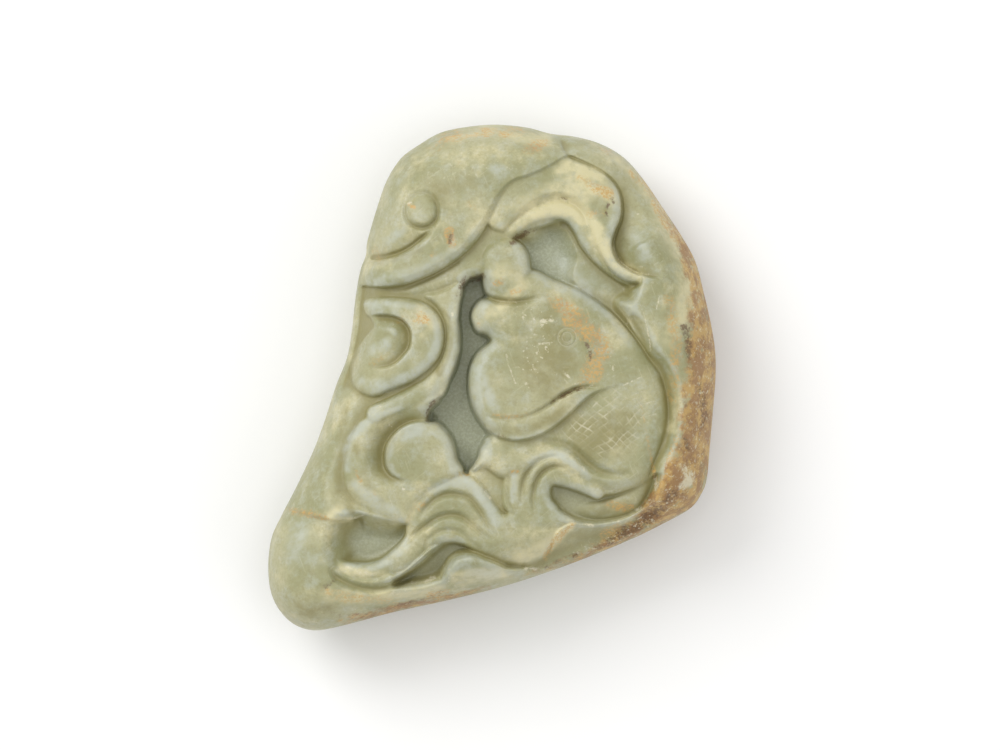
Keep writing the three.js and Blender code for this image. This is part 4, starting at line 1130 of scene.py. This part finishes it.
def on_pebble(p, q):
    """Places of a square's points on the pebble's face: the square is rounded to a disc,
    and the disc's edge is laid along the pebble's outline."""
    across, up = p * np.sqrt(1 - q * q / 2), q * np.sqrt(1 - p * p / 2)
    radius = np.clip(np.hypot(across, up), 0, 1)
    turn = np.mod(np.arctan2(up, across) / (2 * np.pi), 1)
    outline = trace(DRAWN_OUTLINE, True)[::-1]
    closed = np.vstack([outline, outline[:1]])
    lengths = np.concatenate([[0], np.cumsum(np.hypot(*np.diff(closed[:, :2], axis=0).T))])
    x, y = (np.interp(turn * lengths[-1], lengths, closed[:, k]) for k in (0, 1))
    out = (EDGE_EASE * radius - radius ** EDGE_EASE) / (EDGE_EASE - 1)
    return out * x, out * y


def inset_sheet(reach):
    """How far in from the pebble's edge each place is, up to a reach."""
    inset = empty_sheet()
    window, depth = depth_inside(trace(DRAWN_OUTLINE, True), reach)
    inset[window] = np.maximum(depth, 0)
    return inset


def inset_of(sheet, x, y):
    """Insets of places, measured straight from the outline where the sides are steep."""
    inset = sample(sheet, x, y)
    steep = inset < STEEP_REACH
    places = np.stack([x[steep], y[steep]], axis=1)
    nearest = np.full(len(places), np.inf)
    line = trace(DRAWN_OUTLINE, True)[:, :2]
    for a, b in zip(line, np.roll(line, -1, axis=0)):
        along_line = np.clip((places - a) @ (b - a) / ((b - a) @ (b - a)), 0, 1)
        off = places - a - along_line[:, None] * (b - a)
        nearest = np.minimum(nearest, np.hypot(off[:, 0], off[:, 1]))
    inset[steep] = nearest
    return inset


def face_height(sizes, x, y, inset):
    """Height of the uncarved face above the floor."""
    reach = sizes.shoulder_reach / MM
    shoulder = np.sqrt(1 - (1 - np.clip(inset / reach, 0, 1)) ** 2)
    middle = np.clip(1 - (x / (WIDTH / 2)) ** 2 - (y / (LENGTH / 2)) ** 2, 0, 1)
    crown = sizes.face_crown / MM * middle * ease(inset / (reach / 2))
    return sizes.edge_height / MM + sizes.shoulder_rise / MM * shoulder + crown


def start_from(operator, **settings):
    """Adds a primitive with nothing else selected, and gives its object."""
    bpy.ops.object.select_all(action="DESELECT")
    operator(**settings)
    return bpy.context.object


def finish_modifier(piece, kind, **settings):
    """Adds a modifier to the piece and applies it."""
    modifier = piece.modifiers.new(kind.title(), kind)
    for key, value in settings.items():
        setattr(modifier, key, value)
    bpy.ops.object.modifier_apply(modifier=modifier.name)


def keep_on_points(piece, name, values):
    """Stores a value on each point, for the material to read."""
    attribute = piece.data.attributes.new(name, "FLOAT", "POINT")
    attribute.data.foreach_set("value", values.astype(np.float32))


def read_points(piece):
    flat = np.empty(len(piece.data.vertices) * 3, np.float32)
    piece.data.vertices.foreach_get("co", flat)
    return flat.reshape(-1, 3).astype(float)


def place_points(piece, points):
    piece.data.vertices.foreach_set("co", points.astype(np.float32).ravel())
    piece.data.update()


def carve_face(sizes):
    """The carved face: a fine square grid laid on the pebble and raised to its heights."""
    rows = sizes.face_rows
    face = start_from(
        bpy.ops.mesh.primitive_grid_add,
        x_subdivisions=rows, y_subdivisions=rows, size=2,
    )
    p, q, _ = np.clip(read_points(face).T, -1, 1)
    x, y = on_pebble(p, q)
    insets = inset_sheet(sizes.shoulder_reach / MM)
    net, rings = scale_net(), eye_rings()
    carved = worn(relief() * sizes.carving_depth) * ease(insets / CARVING_INSET)
    carved += worked_surface() * ease(insets) - NET_DEPTH * net - EYE_DEPTH * rings
    height = face_height(sizes, x, y, inset_of(insets, x, y)) + sample(carved, x, y)
    place_points(face, np.stack([x, y, height], axis=1) * MM)
    keep_on_points(face, "depth", sample(-carved, x, y))
    hollow = (blur(carved, HOLLOW_REACH) - carved) * ease(insets / HOLLOW_REACH)
    keep_on_points(face, "hollow", sample(hollow, x, y))
    keep_on_points(face, "scratched", sample(np.maximum(net, EYE_PALENESS * rings), x, y))
    for name, entries in STAINS.items():
        keep_on_points(face, name, sample(strokes(entries), x, y))
    return face


def edge_of(face, rows):
    """The face's outermost points, in order round the edge."""
    points = read_points(face)
    grid = np.arange(len(points)).reshape(rows + 1, rows + 1)
    ring = np.concatenate([grid[0, :-1], grid[:-1, -1], grid[-1, :0:-1], grid[:0:-1, 0]])
    return points[ring], ring


def shape_back(face, sizes):
    """The smooth back: a ring on the face's edge, drawn in and down to the resting spot."""
    edge, ring = edge_of(face, sizes.face_rows)
    back = start_from(bpy.ops.mesh.primitive_circle_add, vertices=len(edge), radius=1)
    place_points(back, edge)
    for attribute in face.data.attributes:
        if attribute.data_type == "FLOAT":
            values = np.empty(len(face.data.vertices), np.float32)
            attribute.data.foreach_get("value", values)
            keep_on_points(back, attribute.name, values[ring])
    bpy.ops.object.mode_set(mode="EDIT")
    bpy.ops.mesh.select_all(action="SELECT")
    fraction, height = 1.0, sizes.edge_height
    for k in range(1, sizes.back_rings + 1):
        turn = np.pi / 2 * (1 - k / sizes.back_rings)
        wanted = sizes.rest_part + (1 - sizes.rest_part) * np.sin(turn)
        lower = sizes.edge_height * (1 - np.cos(turn))
        shrink = wanted / fraction
        bpy.ops.mesh.extrude_edges_move()
        bpy.ops.transform.resize(value=(shrink, shrink, 1), center_override=(0, 0, 0))
        bpy.ops.transform.translate(value=(0, 0, lower - height))
        fraction, height = wanted, lower
    bpy.ops.mesh.edge_face_add()
    bpy.ops.mesh.poke()
    bpy.ops.object.mode_set(mode="OBJECT")
    return back


def join_halves(face, back):
    """Face and back as one closed piece whose facets look outwards."""
    face.select_set(True)
    bpy.context.view_layer.objects.active = face
    bpy.ops.object.join()
    face.name = "carved_pebble"
    bpy.ops.object.mode_set(mode="EDIT")
    bpy.ops.mesh.select_all(action="SELECT")
    bpy.ops.mesh.remove_doubles(threshold=SEAM_GAP)
    bpy.ops.mesh.normals_make_consistent(inside=False)
    bpy.ops.object.mode_set(mode="OBJECT")
    return face


def add_node(tree, kind, **settings):
    """Adds a shader node and sets its options."""
    node = tree.nodes.new("ShaderNode" + kind)
    for key, value in settings.items():
        setattr(node, key, value)
    return node


def mix_colours(tree, share, below, above):
    """Lays one colour over another by a share. Each is a socket or three numbers."""
    node = add_node(tree, "Mix", data_type="RGBA")
    for key, value in ((0, share), (6, below), (7, above)):
        if isinstance(value, bpy.types.NodeSocket):
            tree.links.new(value, node.inputs[key])
        elif key:
            node.inputs[key].default_value = (*value, 1)
        else:
            node.inputs[key].default_value = value
    return node.outputs[2]


def calculate(tree, operation, *values):
    """The result of a Math node. Each value is a socket or a number."""
    node = add_node(tree, "Math", operation=operation)
    for k, value in enumerate(values):
        if isinstance(value, bpy.types.NodeSocket):
            tree.links.new(value, node.inputs[k])
        else:
            node.inputs[k].default_value = value
    return node.outputs[0]


def spread(tree, value, low, high, top=1.0):
    """A value between low and high as a share from 0 to top."""
    node = add_node(tree, "MapRange", interpolation_type="SMOOTHSTEP")
    tree.links.new(value, node.inputs["Value"])
    node.inputs["From Min"].default_value = low
    node.inputs["From Max"].default_value = high
    node.inputs["To Max"].default_value = top
    return node.outputs["Result"]


def cloud(tree, place, per_metre, detail=3.0, roughness=0.55):
    """Soft noise from 0 to 1 with so many clouds in a metre."""
    node = add_node(tree, "TexNoise")
    tree.links.new(place, node.inputs["Vector"])
    node.inputs["Scale"].default_value = per_metre
    node.inputs["Detail"].default_value = detail
    node.inputs["Roughness"].default_value = roughness
    return node.outputs["Fac"]


def broken(tree, mask, noise, low, high, top=1.0, force=4.0):
    """A soft mask broken up by noise, the more so the greater the force."""
    shaken = calculate(tree, "MULTIPLY_ADD", noise, force, 1 - force / 2)
    return spread(tree, calculate(tree, "MULTIPLY", mask, shaken), low, high, top)


def read(tree, name):
    """A value that keep_on_points stored."""
    return add_node(tree, "Attribute", attribute_name=name).outputs["Fac"]


def polish_lines(tree, place, turn):
    """Fine straight scratches, drawn from a noise that is stretched one way."""
    mapping = add_node(tree, "Mapping", vector_type="TEXTURE")
    mapping.inputs["Rotation"].default_value = (0, 0, turn)
    mapping.inputs["Scale"].default_value = (1, 14, 3)
    tree.links.new(place, mapping.inputs["Vector"])
    return spread(tree, cloud(tree, mapping.outputs["Vector"], 3600, detail=2.0), 0.64, 0.72)


def ground_colour(tree, place, sizes):
    """The stone itself: pale celadon with greener clouds, milky patches and a fine grain."""
    wide = spread(tree, cloud(tree, place, 110, detail=4.0), 0.38, 0.62)
    colour = mix_colours(tree, wide, sizes.green, sizes.celadon)
    yellow = spread(tree, cloud(tree, place, 230, detail=5.0, roughness=0.6), 0.5, 0.7, top=0.55)
    colour = mix_colours(tree, yellow, colour, sizes.straw)
    middle = spread(tree, cloud(tree, place, 480, detail=5.0, roughness=0.7), 0.44, 0.72, top=0.42)
    colour = mix_colours(tree, middle, colour, sizes.milky_and_sheen)
    mottle = spread(tree, cloud(tree, place, 1250, detail=4.0, roughness=0.7), 0.5, 0.68, top=0.3)
    colour = mix_colours(tree, mottle, colour, sizes.olive_and_shade)
    grain = spread(tree, cloud(tree, place, 2600, detail=3.0, roughness=0.7), 0.35, 0.7, top=0.25)
    colour = mix_colours(tree, grain, colour, sizes.olive_and_shade)
    lines, crossing = polish_lines(tree, place, 0.35), polish_lines(tree, place, -0.9)
    scratches = calculate(tree, "MULTIPLY", calculate(tree, "MAXIMUM", lines, crossing), 0.16)
    return mix_colours(tree, scratches, colour, sizes.chalk)


def cut_shade_and_sheen(tree, colour, place, sizes):
    """Painted light on the carving: a pale bluish painted sheen on the crests, yellow-green
    painted shade in the cut lines and hollows, and grey-green painted shade on the deep floors.
    """
    hollow = read(tree, "hollow")
    patches = cloud(tree, place, 700, detail=4.0)
    # Painted sheen: the crests, where the neighbours are lower, are made pale and bluish.
    crest_sheen = broken(tree, spread(tree, hollow, -0.04, -0.45), patches, 0.1, 1.4, top=0.5, force=3.0)
    colour = mix_colours(tree, crest_sheen, colour, sizes.milky_and_sheen)
    # Painted shade: the hollows, where the neighbours are higher, are darkened to a yellow-green.
    colour = mix_colours(tree, spread(tree, hollow, 0.03, 0.5, top=0.8), colour, sizes.olive_and_shade)
    # Painted shade from the marks, and in a few places a darker tone of the stone.
    cut = broken(tree, read(tree, "olive_and_shade"), patches, 0.1, 1.1, top=0.75, force=2.0)
    colour = mix_colours(tree, cut, colour, sizes.olive_and_shade)
    # Painted shade: the deep floors are turned a darker grey-green, the more so the deeper they
    # are.
    deep = spread(tree, read(tree, "depth"), 2.9, 4.8, top=0.92)
    shade_speckle = spread(tree, cloud(tree, place, 3200, detail=3.0, roughness=0.7), 0.4, 0.64)
    floor = mix_colours(tree, shade_speckle, sizes.shade_grey, sizes.deep_shade_grey)
    return mix_colours(tree, deep, colour, floor)


def stain_colour(tree, colour, place, sizes):
    """Straw and orange stains, and a pale bluish painted sheen, laid on in speckles as the marks
    say.
    """
    patchy = cloud(tree, place, 650, detail=5.0, roughness=0.7)
    speckled = cloud(tree, place, 2700, detail=3.0, roughness=0.7)
    warm = broken(tree, read(tree, "warm"), patchy, 0.1, 1.4, top=0.8, force=3.0)
    colour = mix_colours(tree, warm, colour, sizes.straw)
    # Painted sheen: the marks lay a pale bluish highlight on the crests.
    painted_sheen = broken(tree, read(tree, "painted_sheen"), patchy, 0.1, 1.6, top=0.62, force=3.0)
    colour = mix_colours(tree, painted_sheen, colour, sizes.milky_and_sheen)
    tint = mix_colours(tree, spread(tree, patchy, 0.36, 0.54), sizes.orange, sizes.tan)
    orange = read(tree, "orange")
    faint = broken(tree, orange, patchy, 0.2, 1.5, top=0.25, force=3.0)
    colour = mix_colours(tree, faint, colour, tint)
    speckles = calculate(tree, "MULTIPLY", spread(tree, speckled, 0.47, 0.55),
                         broken(tree, orange, patchy, 0.15, 1.0, top=0.8))
    return mix_colours(tree, speckles, colour, tint)


def skin_colour(tree, sizes, place):
    """The pebble's own skin: tan and russet clouds, darker veins and pale dots."""
    clouds = spread(tree, cloud(tree, place, 420, detail=5.0, roughness=0.7), 0.44, 0.58)
    colour = mix_colours(tree, clouds, sizes.russet, sizes.tan)
    veins = spread(tree, cloud(tree, place, 900, detail=6.0, roughness=0.75), 0.57, 0.68, top=0.55)
    colour = mix_colours(tree, veins, colour, sizes.brown_and_shadow)
    dots = spread(tree, cloud(tree, place, 2400, detail=2.0, roughness=0.5), 0.6, 0.7, top=0.5)
    return mix_colours(tree, dots, colour, sizes.chalk)


def marks_colour(tree, colour, place, sizes):
    """Dirt in pits, painted shadow under undercut rims, pale specks, scratches and chips, over
    everything else.
    """
    fine = cloud(tree, place, 2800, detail=4.0, roughness=0.7)
    coarse = cloud(tree, place, 800, detail=5.0, roughness=0.7)
    dirt = calculate(tree, "MULTIPLY_ADD", fine, 0.5, calculate(tree, "MULTIPLY", coarse, 0.5))
    # The dark marks are dirt, and painted shadow under the undercut rims.
    brown_and_shadow = broken(tree, read(tree, "brown_and_shadow"), dirt, 0.5, 1.5, top=0.75, force=7.0)
    colour = mix_colours(tree, brown_and_shadow, colour, sizes.brown_and_shadow)
    dots = spread(tree, cloud(tree, place, 1900, detail=3.0, roughness=0.6), 0.57, 0.66)
    specks = calculate(tree, "MULTIPLY", dots, read(tree, "specks"))
    colour = mix_colours(tree, spread(tree, specks, 0.1, 0.9, top=0.65), colour, sizes.chalk)
    scratched = spread(tree, read(tree, "scratched"), 0.1, 0.9, top=0.5)
    colour = mix_colours(tree, scratched, colour, sizes.chalk)
    chips = broken(tree, read(tree, "pale"), dirt, 0.4, 1.2, top=0.8, force=6.0)
    return mix_colours(tree, chips, colour, sizes.chalk)


def surface_finish(tree, shader, place, skin):
    """A soft polish that is uneven, and rougher and more grained on the skin."""
    patchy = cloud(tree, place, 900, detail=4.0, roughness=0.65)
    rough = calculate(tree, "ADD", spread(tree, patchy, 0.3, 0.7, top=0.14), 0.38)
    rough = calculate(tree, "MULTIPLY_ADD", skin, 0.16, rough)
    tree.links.new(rough, shader.inputs["Roughness"])
    grain = cloud(tree, place, 2800, detail=4.0, roughness=0.7)
    grain = calculate(tree, "MULTIPLY", grain, calculate(tree, "ADD", skin, 0.45))
    bump = add_node(tree, "Bump")
    bump.inputs["Strength"].default_value = 0.4
    bump.inputs["Distance"].default_value = 0.14 * MM
    tree.links.new(calculate(tree, "MULTIPLY_ADD", patchy, 0.8, grain), bump.inputs["Height"])
    tree.links.new(bump.outputs["Normal"], shader.inputs["Normal"])


def jade(sizes):
    """Pale celadon stone with an orange and russet skin, painted shade in the cut lines and
    hollows, and painted sheen on the crests.
    """
    material = bpy.data.materials.new("jade")
    material.use_nodes = True
    tree = material.node_tree
    shader = tree.nodes["Principled BSDF"]
    place = add_node(tree, "TexCoord").outputs["Object"]
    colour = cut_shade_and_sheen(tree, ground_colour(tree, place, sizes), place, sizes)
    colour = stain_colour(tree, colour, place, sizes)
    edges = cloud(tree, place, 500, detail=6.0, roughness=0.75)
    skin = broken(tree, read(tree, "russet"), edges, 0.25, 0.75, top=0.85)
    colour = mix_colours(tree, skin, colour, skin_colour(tree, sizes, place))
    tree.links.new(marks_colour(tree, colour, place, sizes), shader.inputs["Base Color"])
    surface_finish(tree, shader, place, skin)
    shader.inputs["Subsurface Weight"].default_value = 0.18
    shader.inputs["Subsurface Radius"].default_value = (1.0, 0.9, 0.5)
    shader.inputs["Subsurface Scale"].default_value = 1 * MM
    return material


def stone_colour(name, description, default):
    """A colour of the stone, in linear light."""
    return bpy.props.FloatVectorProperty(
        name=name, description=description, default=default, subtype="COLOR", min=0, max=1,
    )


class CarvingSizes(bpy.types.PropertyGroup):
    """Sizes and colours of the carving."""

    edge_height: bpy.props.FloatProperty(
        name="Edge height", description="The widest line, above the floor",
        default=9 * MM, unit="LENGTH",
    )
    shoulder_rise: bpy.props.FloatProperty(
        name="Shoulder rise", description="From the widest line up to the carved face",
        default=8.6 * MM, unit="LENGTH",
    )
    shoulder_reach: bpy.props.FloatProperty(
        name="Shoulder reach", description="How far in from the edge the shoulder goes",
        default=6.5 * MM, unit="LENGTH",
    )
    face_crown: bpy.props.FloatProperty(
        name="Face crown", description="How far the middle of the face swells",
        default=2.8 * MM, unit="LENGTH",
    )
    rest_part: bpy.props.FloatProperty(
        name="Resting spot", description="Share of the outline's size that lies flat",
        default=0.45, subtype="FACTOR",
    )
    carving_depth: bpy.props.FloatProperty(
        name="Carving depth", description="Multiplies every depth of the carving",
        default=1.0,
    )
    face_rows: bpy.props.IntProperty(
        name="Face rows", description="Rows of facets across the face before thinning",
        default=560, min=50,
    )
    back_rings: bpy.props.IntProperty(
        name="Back rings", description="Rings of facets from the widest line to the floor",
        default=24, min=4,
    )
    facets: bpy.props.IntProperty(
        name="Facets", description="Triangles that the finished carving keeps",
        default=190000, min=10000,
    )
    celadon: stone_colour("Celadon", "The pale ground of the stone", (0.40, 0.385, 0.225))
    green: stone_colour("Green", "The greener clouds in the stone", (0.29, 0.29, 0.15))
    straw: stone_colour("Straw", "The yellower parts of the stone", (0.61, 0.555, 0.33))
    # Used for the stone's milky patches and for the painted sheen on the crests.
    milky_and_sheen: stone_colour("Milky", "The bluish white of the worn crests", (0.46, 0.49, 0.425))
    # This colour is the stone's mottle and grain, and also the painted shade in the cut lines and
    # hollows.
    olive_and_shade: stone_colour("Olive", "The stone in the cut lines", (0.235, 0.21, 0.078))
    # The painted shade on the deep floors.
    deep_shade_grey: stone_colour("Floor grey", "The stone on the deep floors", (0.385, 0.405, 0.29))
    # The darker speckle within the painted shade on the deep floors.
    shade_grey: stone_colour("Shade grey", "Fine grit on the deep floors", (0.31, 0.325, 0.225))
    orange: stone_colour("Orange", "Stains on the polished face", (0.39, 0.21, 0.08))
    tan: stone_colour("Tan", "The paler part of the skin", (0.50, 0.31, 0.095))
    russet: stone_colour("Russet", "The darker part of the skin", (0.30, 0.15, 0.05))
    # Also the painted shadow under undercut rims, besides the veins and the dirt.
    brown_and_shadow: stone_colour("Brown", "Dirt in pits and broken edges", (0.12, 0.065, 0.028))
    chalk: stone_colour("Chalk", "Chips and scratches", (0.62, 0.58, 0.42))


class StudioSizes(bpy.types.PropertyGroup):
    """Sizes and strengths of the studio."""

    floor_width: bpy.props.FloatProperty(
        name="Floor width", description="Side of the square floor", default=4.0, unit="LENGTH",
    )
    floor_colour: bpy.props.FloatVectorProperty(
        name="Floor colour", description="Plain pale floor", default=(0.86, 0.86, 0.85),
        subtype="COLOR",
    )
    camera_height: bpy.props.FloatProperty(
        name="Camera height", description="Above the floor", default=2.098, unit="LENGTH",
    )
    focal_length: bpy.props.FloatProperty(
        name="Focal length", description="Of the camera's lens, in millimetres", default=600.0,
    )


class OBJECT_OT_carve_pebble(bpy.types.Operator):
    """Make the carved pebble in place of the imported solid"""

    bl_idname = "object.carve_pebble"
    bl_label = "Carve pebble"

    def execute(self, context):
        sizes = context.scene.carving_sizes
        face = carve_face(sizes)
        piece = join_halves(face, shape_back(face, sizes))
        finish_modifier(piece, "SMOOTH", factor=0.5, iterations=1)
        finish_modifier(piece, "DECIMATE", ratio=sizes.facets / (2 * len(piece.data.polygons)))
        bpy.ops.object.shade_smooth()
        piece.data.materials.append(jade(sizes))
        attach(piece, "root")
        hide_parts(SOLID)
        return {"FINISHED"}


def add_softbox(name, place, size, power):
    """A square light that looks at the carving."""
    lamp = start_from(bpy.ops.object.light_add, type="AREA", location=place)
    lamp.name = name
    lamp.data.size = size
    lamp.data.energy = power
    lamp.rotation_euler = (-lamp.location).to_track_quat("-Z", "Y").to_euler()
    return lamp


class OBJECT_OT_set_studio(bpy.types.Operator):
    """Add the floor, the soft lights and the camera"""

    bl_idname = "object.set_studio"
    bl_label = "Set studio"

    def execute(self, context):
        sizes = context.scene.studio_sizes
        floor = start_from(bpy.ops.mesh.primitive_plane_add, size=sizes.floor_width)
        floor.name = "floor"
        paper = bpy.data.materials.new("paper")
        paper.use_nodes = True
        shader = paper.node_tree.nodes["Principled BSDF"]
        shader.inputs["Base Color"].default_value = (*sizes.floor_colour, 1)
        shader.inputs["Roughness"].default_value = 0.9
        floor.data.materials.append(paper)
        lights = [add_softbox(*softbox) for softbox in SOFTBOXES]
        world = bpy.data.worlds.new("studio")
        world.use_nodes = True
        background = world.node_tree.nodes["Background"]
        background.inputs["Color"].default_value = (1, 1, 1, 1)
        background.inputs["Strength"].default_value = SURROUND_LIGHT
        context.scene.world = world
        context.scene.view_settings.view_transform = "Standard"
        camera = start_from(
            bpy.ops.object.camera_add,
            location=(CAMERA_ACROSS * MM, CAMERA_UP * MM, sizes.camera_height),
        )
        camera.rotation_euler = (0, 0, 0)
        camera.data.lens = sizes.focal_length
        camera.data.sensor_width = SENSOR_WIDTH
        context.scene.camera = camera
        return {"FINISHED"}


class VIEW3D_PT_carving(bpy.types.Panel):
    """Lists the carving's operators"""

    bl_label = "Carving"
    bl_space_type = "VIEW_3D"
    bl_region_type = "UI"
    bl_category = "Carving"

    def draw(self, context):
        layout = self.layout
        layout.operator(OBJECT_OT_carve_pebble.bl_idname)
        layout.operator(OBJECT_OT_set_studio.bl_idname)


CLASSES = (
    CarvingSizes,
    StudioSizes,
    OBJECT_OT_carve_pebble,
    OBJECT_OT_set_studio,
    VIEW3D_PT_carving,
)


def register():
    for kind in CLASSES:
        bpy.utils.register_class(kind)
    bpy.types.Scene.carving_sizes = bpy.props.PointerProperty(type=CarvingSizes)
    bpy.types.Scene.studio_sizes = bpy.props.PointerProperty(type=StudioSizes)


def unregister():
    del bpy.types.Scene.studio_sizes
    del bpy.types.Scene.carving_sizes
    for kind in reversed(CLASSES):
        bpy.utils.unregister_class(kind)


def main():
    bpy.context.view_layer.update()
    register()
    bpy.ops.object.carve_pebble()
    bpy.ops.object.set_studio()


if __name__ == "__main__":
    main()
